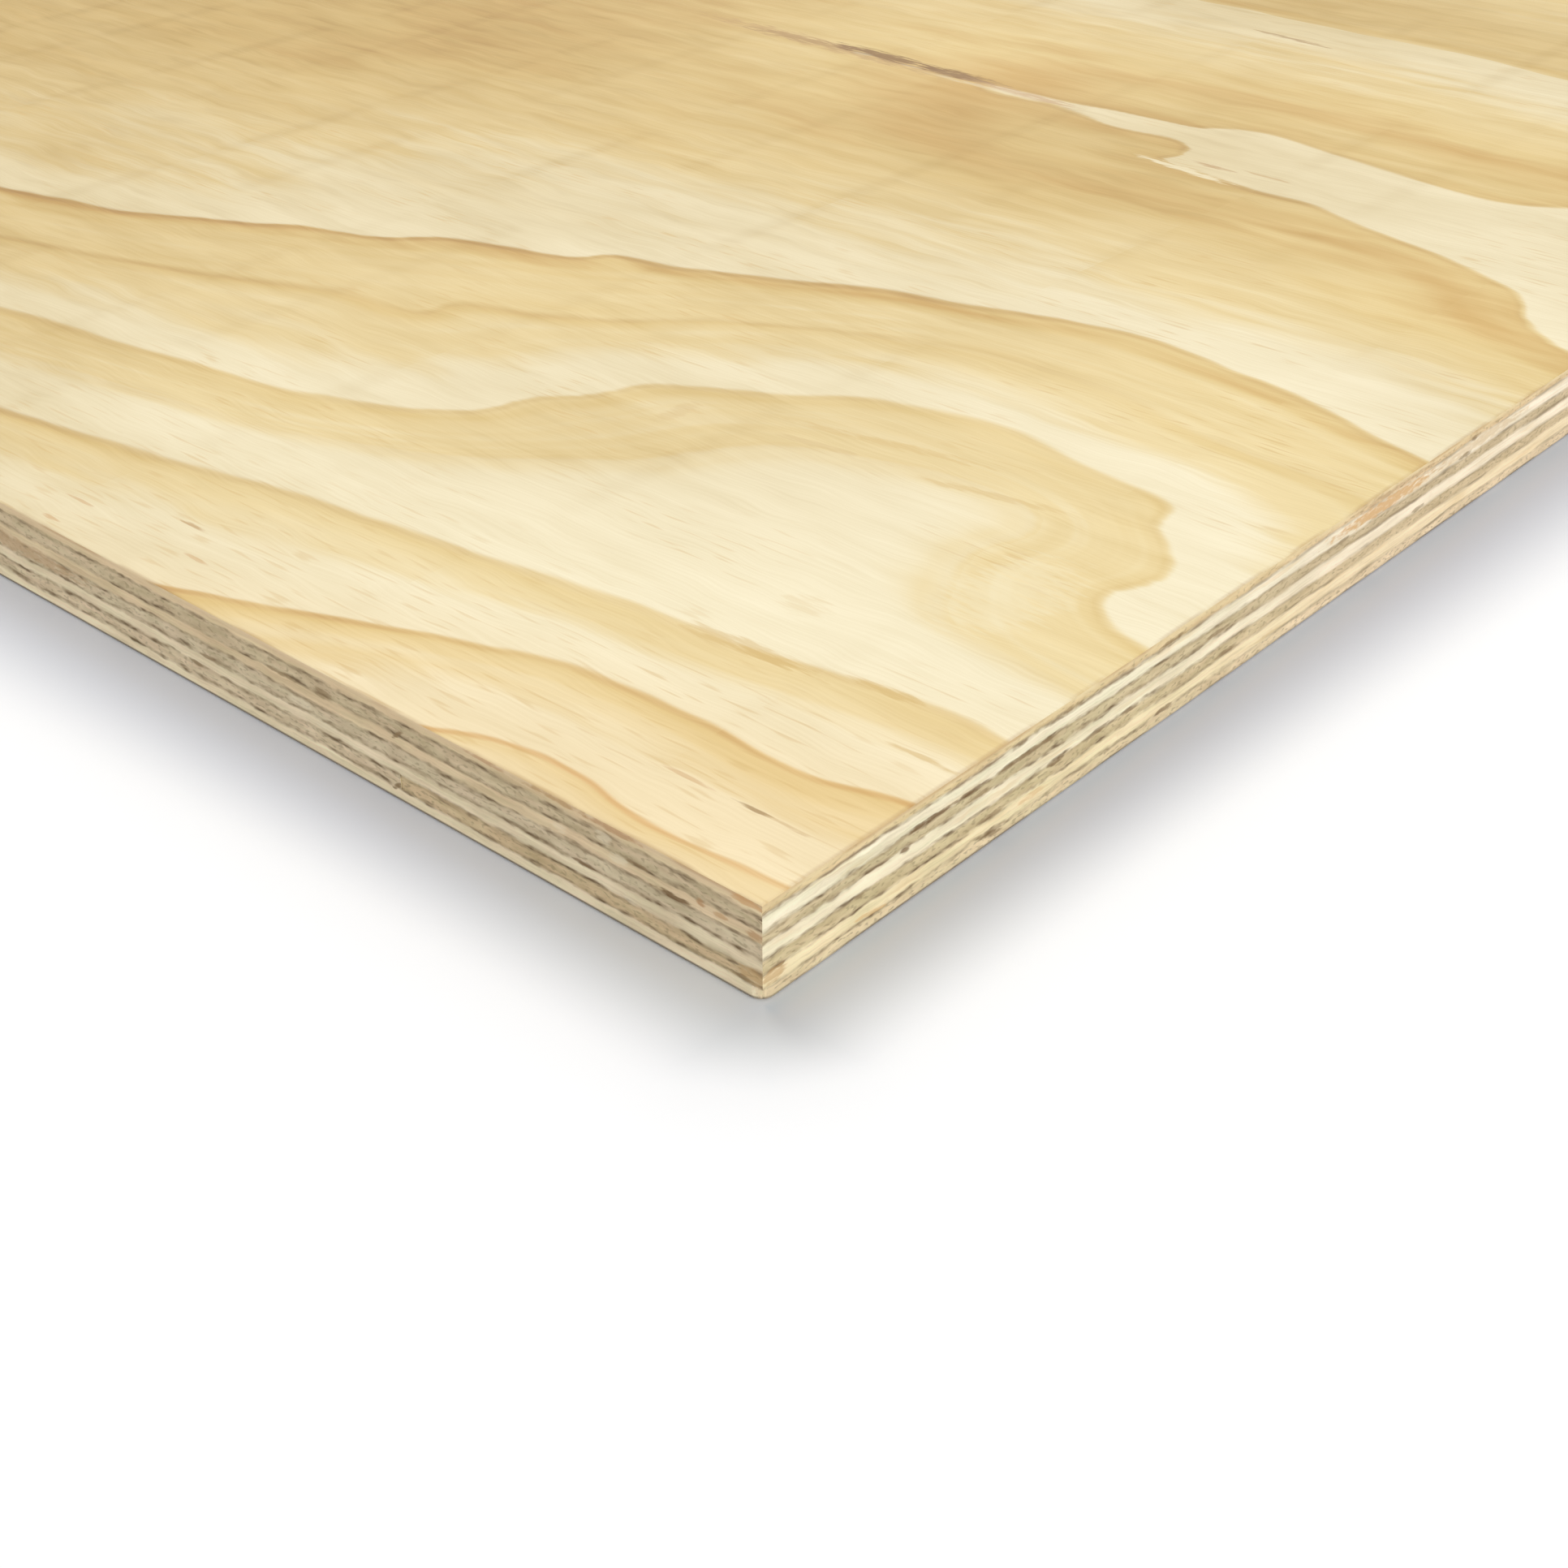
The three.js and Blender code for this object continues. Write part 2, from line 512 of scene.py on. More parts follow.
@dataclass(frozen=True)
class FaceGrain:
    """The growth rings and the brownness over the whole face."""

    drawn_length_mm: float = 640.0
    drawn_width_mm: float = 620.0

    # Anchors of the drawn part's field outside it: a grid, and loops of rings that drift
    anchor_pitch_mm: float = 230.0
    anchor_reach_mm: tuple[float, float] = (2500.0, 1300.0)
    anchor_margin_mm: float = 90.0
    anchor_height: float = 5.2
    anchor_swing: float = 2.4
    anchor_bend: float = 0.9
    anchor_drift: float = 0.9
    drift_mm: tuple[float, float] = (1100.0, 260.0)
    loop_length_mm: float = 1750.0
    loop_pitch_mm: float = 640.0
    loop_shift: float = 0.6

    # How the drawn part fades into the far rings, past its length and past its width
    fade_mm: tuple[float, float] = (700.0, 240.0)
    fade_sway_mm: float = 90.0
    fade_sway_length_mm: float = 62.0

    # The far rings: waves so many rings high, millimetres along and across the grain, and shift
    far_height: float = 5.0
    far_waves: tuple[tuple[float, float, float, float], ...] = (
        (2.1, 5200.0, 610.0, 0.6), (0.95, -2600.0, 263.0, 1.9), (0.7, 1700.0, 900.0, 4.0),
        (0.28, 1150.0, 150.0, 2.2), (0.09, 420.0, 75.0, 0.9),
    )
    far_brownness: float = 0.5
    brown_lead_mm: float = 60.0
    brown_stretch: float = 0.8
    brown_ease: float = 1e-2
    slope_reach_mm: float = 2.0

    def _beyond_drawn(self, u: np.ndarray, v: np.ndarray) -> np.ndarray:
        """How far a place lies beyond the drawn part of the face.

        Args:
            u: distances from the +X end, in millimetres.
            v: distances from the -Y edge, in millimetres.

        Returns:
            0 over the drawn part, rising to 1 away from it.
        """
        sway = self.fade_sway_mm * (1 + np.sin(v / self.fade_sway_length_mm))
        past_length = (u - self.drawn_length_mm - sway) / self.fade_mm[0]
        past_width = (v - self.drawn_width_mm) / self.fade_mm[1]
        past = np.clip(np.maximum(past_length, past_width), 0, 1)
        return past * past * (3 - 2 * past)

    def _far_rings(self, u: np.ndarray, v: np.ndarray) -> np.ndarray:
        """Ring heights far from the drawn lines: long loops, one inside another.

        Args:
            u: distances from the +X end, in millimetres.
            v: distances from the -Y edge, in millimetres.

        Returns:
            The ring height at each place.
        """
        height = np.full(np.shape(u), self.far_height)
        bend = np.sin(2 * math.pi * u / self.loop_length_mm + self.loop_shift)
        for rings, along_mm, across_mm, shift in self.far_waves:
            height += rings * np.sin(2 * math.pi * (u / along_mm + v / across_mm) + shift + bend)
        return height

    def _rest_of_sheet(self, u: float, v: float) -> float:
        """The ring height of an anchor beside the drawn lines.

        Args:
            u: distance from the +X end, in millimetres.
            v: distance from the -Y edge, in millimetres.

        Returns:
            The ring height.
        """
        turn = 2 * math.pi
        bend = self.anchor_bend * math.sin(turn * u / self.loop_length_mm + self.loop_shift)
        loops = math.sin(turn * v / self.loop_pitch_mm + bend)
        drift = math.sin(turn * u / self.drift_mm[0] + v / self.drift_mm[1])
        return self.anchor_height + self.anchor_swing * loops + self.anchor_drift * drift

    def rings(self, u: np.ndarray, v: np.ndarray) -> np.ndarray:
        """Ring heights. A whole number is the late edge of a ring.

        Args:
            u: distances from the +X end, in millimetres.
            v: distances from the -Y edge, in millimetres.

        Returns:
            The ring height at each place.
        """
        places = [point for line in FACE_RINGS for point in line.points]
        values = [float(line.ring) for line in FACE_RINGS for _ in line.points]
        places += [place for place, _ in FACE_RING_HEIGHTS]
        values += [height for _, height in FACE_RING_HEIGHTS]
        clear_u = self.drawn_length_mm + self.anchor_margin_mm
        clear_v = self.drawn_width_mm + self.anchor_margin_mm
        for far_u in np.arange(0, self.anchor_reach_mm[0], self.anchor_pitch_mm):
            for far_v in np.arange(0, self.anchor_reach_mm[1], self.anchor_pitch_mm):
                if far_u > clear_u or far_v > clear_v:
                    places.append((far_u, far_v))
                    values.append(self._rest_of_sheet(far_u, far_v))
        found = SmoothField(np.array(places, float), np.array(values, float)).at(u, v)
        beyond = self._beyond_drawn(u, v)
        return found * (1 - beyond) + self._far_rings(u, v) * beyond

    def slopes(self, u: np.ndarray, v: np.ndarray) -> tuple[np.ndarray, np.ndarray]:
        """How fast the ring height changes, in rings a millimetre.

        Args:
            u: distances from the +X end, in millimetres.
            v: distances from the -Y edge, in millimetres.

        Returns:
            The slopes along the grain and across it.
        """
        reach = self.slope_reach_mm
        along = (self.rings(u + reach, v) - self.rings(u - reach, v)) / (2 * reach)
        across = (self.rings(u, v + reach) - self.rings(u, v - reach)) / (2 * reach)
        return along, across

    def brownness(self, u: np.ndarray, v: np.ndarray) -> np.ndarray:
        """How brown the wood is.

        Args:
            u: distances from the +X end, in millimetres.
            v: distances from the -Y edge, in millimetres.

        Returns:
            The brownness at each place, from 0 to 1.
        """
        places = np.array([place for place, _ in FACE_BROWNNESS], float)
        values = np.array([value for _, value in FACE_BROWNNESS], float)
        found = SmoothField(places, values, self.brown_stretch, self.brown_ease).at(u, v)
        beyond = self._beyond_drawn(u + self.brown_lead_mm, v)
        return np.clip(found, 0, 1) * (1 - beyond) + self.far_brownness * beyond


# --- Finishes ------------------------------------------------------------------------------------


@dataclass(frozen=True)
class Surface:
    """What a finish gives the shader."""

    colour: Port
    roughness: Port
    relief_mm: Port


@dataclass(frozen=True)
class Place:
    """Where a point of the surface is, in millimetres, and which way the surface faces.

    u and v are its distances from the +X end and from the -Y edge.
    """

    graph: Graph
    sizes: SheetSizes
    x: Port
    y: Port
    z: Port
    u: Port
    v: Port
    facing_x: Port
    facing_z: Port

    @classmethod
    def of(cls, graph: Graph, sizes: SheetSizes) -> "Place":
        """Reads the place from the object's own coordinates.

        Args:
            graph: the material's graph.
            sizes: the sheet's sizes.

        Returns:
            The place.
        """
        spot, normal = (
            graph.parts(graph.node("ShaderNodeTexCoord", {}, {}, name), "XYZ")
            for name in ("Object", "Normal")
        )
        x, y, z = (axis * MM_A_METRE for axis in spot)
        u, v = sizes.half_length_mm - x, y + sizes.half_width_mm
        return cls(graph, sizes, x, y, z, u, v, normal[0].size(), normal[2].size())

    def under_top(self, start_mm: float, end_mm: float) -> Port:
        """0 at one depth below the top of the sheet and below it, 1 at another and above."""
        top = self.sizes.thickness_mm
        return self.z.step(top - start_mm, top - end_mm)


@dataclass(frozen=True)
class Pattern:
    """Smooth noise, with the size of its lumps in the units of the place, mostly millimetres.

    With a cut it is a mask that rises from 0 to 1 between those values of the noise. Without one
    it swings about 0.
    """

    along: float
    across: float
    seed: float
    detail: float = 2.0
    cut: tuple[float, float] | None = None
    roughness: float = 0.5

    def noise(self, along: Port, across: "Port | float") -> Port:
        """The noise itself, about 0.5."""
        place = (along / self.along, across / self.across)
        return along.graph.noise(*place, self.seed, self.detail, self.roughness)

    def at(self, along: Port, across: "Port | float") -> Port:
        """The pattern at a place."""
        found = self.noise(along, across)
        return found.step(*self.cut) if self.cut else found - 0.5


def mixed(shares: tuple[float, ...], *ports: Port) -> Port:
    """The sum of some numbers, each times its share."""
    return sum(port * share for share, port in zip(shares, ports))


# The squared reach at which a mark's rim begins, and at which it has its full strength
MARK_RIM = (1.3, 0.1)


@dataclass(frozen=True)
class Mark:
    """A mark on a surface, an ellipse with a ragged outline.

    On the face its place is (u, v) as ring lines have it. On a sawn edge it is the distance from
    the (+X, -Y) corner and the height above the underside.
    """

    along_mm: float
    across_mm: float
    length_mm: float
    width_mm: float
    colour: Colour
    strength: float
    slope: float = 0.0
    depth_mm: float = 0.0

    def mask(self, along: Port, across: Port, ragged: Port) -> Port:
        """Where the mark is, from 0 to 1.

        Args:
            along: the point's place along the surface.
            across: its place across it.
            ragged: how far the outline is out, about 0.

        Returns:
            The mask.
        """
        off_along = along - self.along_mm
        off_across = across - self.across_mm
        if self.slope:
            off_across = off_across - off_along * self.slope
        along_share = off_along / (self.length_mm / 2)
        across_share = off_across / (self.width_mm / 2)
        reach = along_share * along_share + across_share * across_share + ragged
        return reach.step(*MARK_RIM) * self.strength

    def meets(self, low_mm: float, high_mm: float) -> bool:
        """Whether the mark reaches between two levels."""
        reach = self.width_mm / 2 + abs(self.slope) * self.length_mm / 2
        return low_mm - reach < self.across_mm < high_mm + reach


def marks_of(rows: dict[Colour, list[tuple[float, ...]]]) -> tuple[Mark, ...]:
    """Makes marks of rows that give place, size and strength, then slope and depth, by colour."""
    return tuple(Mark(*row[:4], colour, *row[4:]) for colour in rows for row in rows[colour])


PIN_BROWN = linear(208, 164, 110)
LIGHT_SLIVER = linear(240, 226, 188)
OCHRE = linear(214, 180, 112)
TAN = linear(206, 166, 112)
TAN_BROWN = linear(186, 138, 92)
GREY_BROWN = linear(150, 126, 92)
DARK_BROWN = linear(122, 94, 62)
TORN_PALE = linear(250, 238, 208)
ORANGE = linear(228, 188, 128)
RUST = linear(188, 140, 94)

# The first rows are the streak of torn grain, and those after them small streaks and pin marks
FACE_MARKS = marks_of({
    linear(194, 158, 106): [(285, 354, 120, 9, 0.7, 0.03)],
    linear(178, 144, 94): [(300, 354.5, 54, 5.5, 0.7, -0.03, 0.02)],
    linear(142, 108, 66): [
        (270, 356.5, 42, 7.5, 0.9, 0.02, 0.04), (240, 355.5, 34, 7.0, 0.9, 0.03, 0.04),
    ],
    linear(202, 166, 124): [(213, 352.5, 42, 5.5, 0.7, 0.06, 0.02)],
    LIGHT_SLIVER: [
        (276, 354, 9, 2.5, 0.3), (256, 353, 8, 2.0, 0.25), (226, 350.5, 46, 3.0, 0.4, 0.04),
        (139, 325, 34, 3.5, 0.9, 0.14),
    ],
    linear(190, 152, 104): [(134, 332.5, 14, 2.5, 0.7, 0.05)],
    linear(205, 172, 122): [(118, 334.5, 14, 1.6, 0.6, 0.05)],
    linear(172, 138, 94): [(184, 458, 30, 2.4, 0.7, 0.1)],
    linear(160, 124, 74): [(18, 18, 8, 1.1, 0.75)],
    linear(206, 172, 118): [(11, 18, 9, 1.0, 0.55)],
    linear(190, 150, 98): [(163, 19, 9, 1.2, 0.7)],
    PIN_BROWN: [
        (32, 18, 12, 1.0, 0.5), (187, 3, 6, 1.2, 0.6), (190, 11, 9, 1.0, 0.5), (152, 11, 8, 1.0, 0.5),
    ],
    OCHRE: [
        (7, 47, 16, 1.8, 0.55), (54, 54.5, 30, 5, 0.5, -0.06), (25, 59.5, 14, 3.5, 0.6, -0.1),
        (55, 73, 10, 7, 0.22), (88, 136, 46, 3.6, 0.4, -0.2), (57, 131, 36, 3.2, 0.4, -0.2),
        (46, 54.5, 22, 2.2, 0.5, -0.05),
    ],
    linear(246, 234, 198): [(30, 100, 22, 34, 0.4)],
    linear(208, 178, 124): [(98, 126, 22, 3.0, 0.35, -0.15)],
    linear(212, 182, 128): [(131, 119, 5, 16, 0.3)],
})


class Side(Enum):
    """A sawn edge at the (+X, -Y) corner: the long edge or the end."""

    LONG = "long"
    END = "end"


# Torn and resinous places, and the widest of the dashes in the glue lines
EDGE_MARKS = {
    Side.LONG: marks_of({
        linear(196, 162, 122): [(200, 9.6, 56, 3.6, 0.6)],
        DARK_BROWN: [(38, 7.7, 5, 1.1, 0.8), (18, 11.0, 10, 1.2, 0.85)],
        GREY_BROWN: [
            (26, 13.3, 5, 1.0, 0.8), (82, 13.6, 3, 1.2, 0.9, -0.7), (83.5, 2.7, 3, 1.2, 0.9, -0.6),
            (102, 13.6, 6, 2.2, 0.6), (113, 13.2, 9, 1.1, 0.7), (140, 5.2, 5, 1.1, 0.7),
            (135, 7.9, 7, 1.1, 0.6), (4, 2.9, 5, 1.0, 0.8),
        ],
        TORN_PALE: [
            (109, 9.2, 7, 2.2, 0.35), (102, 6.8, 6, 1.6, 0.4), (33, 15.0, 4, 2.4, 0.4),
            (30, 12.4, 4, 2.0, 0.45), (43, 12.3, 4, 1.6, 0.35), (27.5, 5.6, 3, 1.4, 0.35),
        ],
        linear(186, 144, 90): [(44, 17.6, 16, 1.2, 0.6)],
        RUST: [(31, 17.5, 13, 1.3, 0.6), (60, 17.6, 10, 0.9, 0.5)],
        linear(216, 162, 104): [(3, 17.3, 8, 1.5, 0.6)],
        TAN_BROWN: [(12.5, 12.7, 2, 1.5, 0.7), (1.5, 11.8, 4, 2.0, 0.6)],
        linear(196, 150, 100): [(8.5, 12.1, 3, 1.6, 0.55)],
        TAN: [(1, 4.2, 8, 3.6, 0.5)],
    }),
    Side.END: marks_of({
        linear(226, 184, 130): [(185, 14.7, 44, 3.0, 0.9)],
        linear(220, 190, 144): [(225, 14.8, 44, 2.6, 0.5)],
        linear(176, 142, 108): [(190, 16.9, 40, 1.2, 0.45)],
        DARK_BROWN: [
            (40, 13.2, 14, 1.1, 0.85), (51, 13.1, 10, 1.2, 0.75), (33.5, 10.5, 3, 1.3, 0.8),
            (74, 7.5, 5, 1.5, 0.7), (87, 7.8, 8, 1.6, 0.6), (96, 7.7, 5, 1.3, 0.6),
            (56, 1.9, 9, 1.5, 0.65, -0.25), (109, 16.4, 8, 1.0, 0.6), (124, 11.4, 9, 1.1, 0.5),
            (128, 5.8, 9, 1.2, 0.5), (108, 2.5, 7, 1.1, 0.65), (78, 16.4, 6, 1.0, 0.5),
            (222, 16.4, 4, 1.2, 0.6),
        ],
        GREY_BROWN: [
            (66, 13.2, 20, 1.0, 0.8), (53, 11.4, 8, 1.0, 0.6), (22.5, 7.5, 3, 1.0, 0.7),
            (56, 5.5, 8, 1.4, 0.6), (4, 5.2, 2, 1.4, 0.8), (200, 8.2, 6, 1.2, 0.6),
            (219, 13.6, 7, 1.1, 0.7), (169, 13.0, 5, 1.1, 0.6),
        ],
        TAN: [(2.5, 3.9, 6, 3.0, 0.6)],
        ORANGE: [(25, 2.9, 9, 1.0, 0.6, -0.12), (68, 3.9, 10, 1.3, 0.5)],
    }),
}


@dataclass(frozen=True)
class RingField:
    """What is known of the growth rings at a point.

    The slopes are in rings a millimetre, along the grain with its sign and in all.
    """

    height: Port
    slope_along: "Port | float"
    steepness: "Port | float"
    brownness: Port


@dataclass(frozen=True)
class Grain:
    """Patterns of rotary-cut wood at a point, each about 0, and its place across a wavy grain."""

    y: Port
    wave: Port
    fibre: Port
    broad: Port
    cells: Port


@dataclass(frozen=True)
class RotaryPine:
    """Rotary-cut pine, seen on the flat.

    The knife left faint marks across the grain, evenly spaced from the +X end, and the streaks
    between two marks don't quite meet those beyond them. A pair of lengths says where something
    begins and where it is complete.
    """

    pale: Colour = linear(248, 236, 202)
    light_honey: Colour = linear(240, 219, 167)
    honey: Colour = linear(232, 206, 145)
    deep_honey: Colour = linear(218, 182, 116)
    late_line: Colour = linear(188, 150, 96)
    late_line_near: Colour = linear(218, 170, 108)
    brown_wash: Colour = (0.71, 0.63, 0.47)
    orange_wash: Colour = (0.99, 0.92, 0.83)
    light_fibre: Colour = (1.05, 1.06, 1.08)
    dark_fibre: Colour = (0.95, 0.935, 0.89)
    fleck: Colour = linear(214, 178, 112)
    arris: Colour = linear(182, 144, 100)
    roughness: float = 0.62
    fibre_roughness: float = 0.12

    # The rings, and how dark each of the four wood colours is
    looks: tuple[RingLook, ...] = RING_LOOKS
    tones: tuple[float, ...] = (0.0, 0.3, 0.65, 1.0)
    late_band_mm: float = 30.0
    inner_loss: float = 0.15
    least_steepness: float = 0.002

    # A ring's late edge: how far the wood darkens past it, how wide it is, how much narrower where
    # it is crisp and wider where it is blurred, and how crisp it is plainly, on brown and near
    halo_mm: float = 1.4
    edge_mm: float = 3.4
    crisp_mm: float = 2.8
    blurred_mm: float = 7.0
    crispness: tuple[float, float, float] = (0.4, 1.5, 0.5)

    # The thread of dark wood in that edge
    thread_middle_mm: float = 0.6
    thread_mm: tuple[float, float] = (2.2, 0.2)
    thread_narrowing: float = 0.9
    thread_strength: float = 0.62
    thread_streaks: float = 2.2

    # Where the drawn corner's thin lines end, with the share that counts along the grain, and
    # where the lines further across the sheet fade
    corner_share: float = 0.33
    corner_mm: tuple[float, float] = (85.0, 12.0)
    far_mm: tuple[float, float] = (350.0, 460.0)

    # Patterns of the wood, and how far they push the grain and the rings about
    wave: Pattern = Pattern(22, 12, 5.3, 1)
    wave_mm: float = 4.5
    ring_wave_mm: float = 2.4
    tooth: Pattern = Pattern(40, 3.0, 3.1)
    tooth_mm: float = 1.6
    fibre: Pattern = Pattern(30, 0.6, 17.0)
    broad: Pattern = Pattern(50, 6, 21.0, 1)
    stretch_step_mm: float = 0.72
    cloud: Pattern = Pattern(42, 12, 25.0)
    cells: Pattern = Pattern(1 / 3.1, 20, 45.0, 0)
    bands: Pattern = Pattern(1 / 7, 90, 41.0, 1)

    # Shares of those patterns: broad, fibre and cells in the streaks, bands, broad and cells in
    # the wood's variation, broad in the grain, and cloud in it plainly and on brown
    streak_shares: tuple[float, ...] = (0.45, 0.12, 0.15)
    varied_shares: tuple[float, ...] = (1.0, 0.5, 0.14)
    grain_broad: float = 0.6
    grain_cloud: tuple[float, float] = (0.8, 1.8)

    # Browner flames, and flecks that crowd in places and along the edge
    flame: Pattern = Pattern(26, 4.5, 33.0, 2, (0.5, 0.8))
    flame_strength: float = 0.3
    flecks: Pattern = Pattern(10, 0.9, 29.0, 0, (0.64, 0.86))
    crowd: Pattern = Pattern(60, 16, 31.0, 0, (0.45, 0.75))
    edge_crowd_mm: tuple[float, float] = (80.0, 20.0)
    edge_crowd: float = 0.8
    fleck_strength: float = 0.38

    # Knife marks, in two rows, the second one fainter
    knife_pitch_mm: float = 77.5
    knives_mm: tuple[float, float] = (37.5, 85.0)
    knife_shares: tuple[float, float] = (1.0, 0.7)
    knife_mm: tuple[float, float] = (5.0, 0.5)
    knife_reach: Pattern = Pattern(40, 45, 43.0, 1, (0.34, 0.62))
    knife_on_pale: float = 0.12
    knife_strength: float = 0.26

    # Wear on the arris, raggedness of the marks, and depths of fibre, streaks and knife marks
    rubbing: Pattern = Pattern(17, 17, 47.0, 2, (0.38, 0.62))
    rubbed_mm: tuple[float, float] = (1.1, 0.2)
    rubbed_strength: float = 0.35
    ragged: Pattern = Pattern(7, 1.0, 37.0, 3)
    raggedness: float = 3.2
    reliefs_mm: tuple[float, ...] = (0.03, 0.03, -0.02)

    def _ring_tables(self, graph: Graph, number: Port) -> tuple[Port, ...]:
        """Looks a ring up.

        Args:
            graph: the material's graph.
            number: the ring's place among the looks, a whole number and a half.

        Returns:
            Its strength, body, start, line, the tone just past its line, and its fade.
        """
        count = len(self.looks)
        wood, edges = [], []
        for i, look in enumerate(self.looks):
            following = self.looks[min(i + 1, count - 1)]
            wood.append((i / count, (look.strength, look.body, look.start + START_SHIFT)))
            edges.append((i / count, (look.line, following.first_tone(), look.fade)))
        strength, body, start = graph.parts(graph.ramp(number / count, wood, "CONSTANT"))
        line, beyond, fade = graph.parts(graph.ramp(number / count, edges, "CONSTANT"))
        return strength, body, start - START_SHIFT, line, beyond, fade

    def _ring_colour(
        self, place: Place, rings: RingField, height: Port, streaks: Port, varied: Port, near: Port
    ) -> Port:
        """The colour that the growth rings give.

        Args:
            place: where the point is.
            rings: the growth rings at the point.
            height: the ring height, with its raggedness.
            streaks: streaks along the grain, about 0, into which the inner side dissolves.
            varied: lighter and darker wood within the rings, about 0.
            near: 1 near the drawn corner, where the lines are thin.

        Returns:
            The colour.
        """
        graph = place.graph
        outward = height - rings.steepness * self.halo_mm
        part = outward.fract()
        strength, body, start, line, beyond, fade = self._ring_tables(graph, outward - part + 0.5)
        steepness = rings.steepness
        if isinstance(steepness, Port):
            steepness = steepness.most(self.least_steepness)
        inside_mm = (1 - part) / steepness - self.halo_mm
        blurred = place.v.step(*self.far_mm)
        plain, on_brown, when_near = self.crispness
        crisp = (line * (rings.brownness * on_brown + near * when_near + plain)).least(1)
        crisp = crisp * (1 - blurred)
        edge = inside_mm.about(self.edge_mm - crisp * self.crisp_mm + blurred * self.blurred_mm)
        late = (part + streaks * (1 - part) - start).about(fade)
        close = (inside_mm / (fade * self.late_band_mm)).step(1, 0)
        deepening = part * self.inner_loss + (1 - self.inner_loss)
        within = late * (body + (strength - body) * close) * deepening
        tone = graph.lerp(edge, beyond, within) * (varied + 1)
        colours = (self.pale, self.light_honey, self.honey, self.deep_honey)
        colour = graph.ramp(tone, list(zip(self.tones, colours)))
        off_middle = (inside_mm - self.thread_middle_mm).size()
        thread = (off_middle * (near * self.thread_narrowing + 1)).step(*self.thread_mm) * crisp
        late_line = graph.blend(near, self.late_line, self.late_line_near)
        broken = streaks * self.thread_streaks + self.thread_strength
        return graph.blend(thread * broken, colour, late_line)

    def _knife_marks(self, place: Place) -> Port:
        """Faint lines across the grain, in two rows at the same pitch.

        Args:
            place: where the point is.

        Returns:
            How strongly the point is marked.
        """
        rows = []
        for first, share in zip(self.knives_mm, self.knife_shares):
            past = ((place.u - first) / self.knife_pitch_mm).fract()
            off_mm = (0.5 - (past - 0.5).size()) * self.knife_pitch_mm
            rows.append(off_mm.step(*self.knife_mm) * share)
        return rows[0].most(rows[1]) * self.knife_reach.at(place.x, place.y)

    def _grain(self, place: Place) -> Grain:
        """Works the grain out.

        Args:
            place: where the point is.

        Returns:
            The grain there.
        """
        knife = (place.u - self.knives_mm[0]) / self.knife_pitch_mm
        stretch = knife - knife.fract()
        wave = self.wave.at(place.x, place.y)
        y = place.y + wave * self.wave_mm
        fibre = self.fibre.at(place.x, y)
        broad = self.broad.at(place.x, y + stretch * self.stretch_step_mm)
        return Grain(y, wave, fibre, broad, self.cells.at(stretch, place.y))

    def _wood(self, place: Place, rings: RingField, grain: Grain) -> Port:
        """The colour of clean wood.

        Args:
            place: where the point is.
            rings: the growth rings at the point.
            grain: the grain there.

        Returns:
            The colour.
        """
        graph = place.graph
        height = rings.height + grain.wave * self.ring_wave_mm * rings.steepness
        tooth = self.tooth.at(place.x, place.y) * self.tooth_mm
        height = height + tooth * rings.slope_along
        streaks = mixed(self.streak_shares, grain.broad, grain.fibre, grain.cells)
        bands = self.bands.at(rings.height, place.x)
        varied = mixed(self.varied_shares, bands, grain.broad, grain.cells)
        near = (place.u * self.corner_share + place.v).step(*self.corner_mm)
        colour = self._ring_colour(place, rings, height, streaks, varied, near)
        colour = graph.shade(near, colour, self.orange_wash)
        colour = graph.shade(rings.brownness, colour, self.brown_wash)
        cloudy = rings.brownness * self.grain_cloud[1] + self.grain_cloud[0]
        cloud = self.cloud.at(place.x, grain.y) * cloudy
        dark = grain.fibre + grain.broad * self.grain_broad + cloud + 0.5
        return graph.shade(1.0, colour, graph.blend(dark, self.light_fibre, self.dark_fibre))

    def _flecked(self, place: Place, rings: RingField, grain: Grain, colour: Port) -> Port:
        """Adds flames and flecks.

        Args:
            place: where the point is.
            rings: the growth rings at the point.
            grain: the grain there.
            colour: the colour without them.

        Returns:
            The colour with them.
        """
        flame = self.flame.at(place.x, grain.y) * rings.brownness * self.flame_strength
        colour = place.graph.shade(flame, colour, self.brown_wash)
        by_edge = place.v.step(*self.edge_crowd_mm) * self.edge_crowd
        crowd = self.crowd.at(place.x, place.y).most(by_edge)
        flecks = self.flecks.at(place.x, place.y) * crowd
        return place.graph.blend(flecks * self.fleck_strength, colour, self.fleck)

    def _rubbed(self, place: Place, colour: Port) -> Port:
        """Adds the wear along the arrises.

        Args:
            place: where the point is.
            colour: the colour without it.

        Returns:
            The colour with it.
        """
        to_end = place.sizes.half_length_mm - place.x.size()
        to_edge = (place.sizes.half_width_mm - place.y.size()).least(to_end)
        rubbed = to_edge.step(*self.rubbed_mm) * self.rubbing.at(place.x, place.y)
        return place.graph.blend(rubbed * self.rubbed_strength, colour, self.arris)

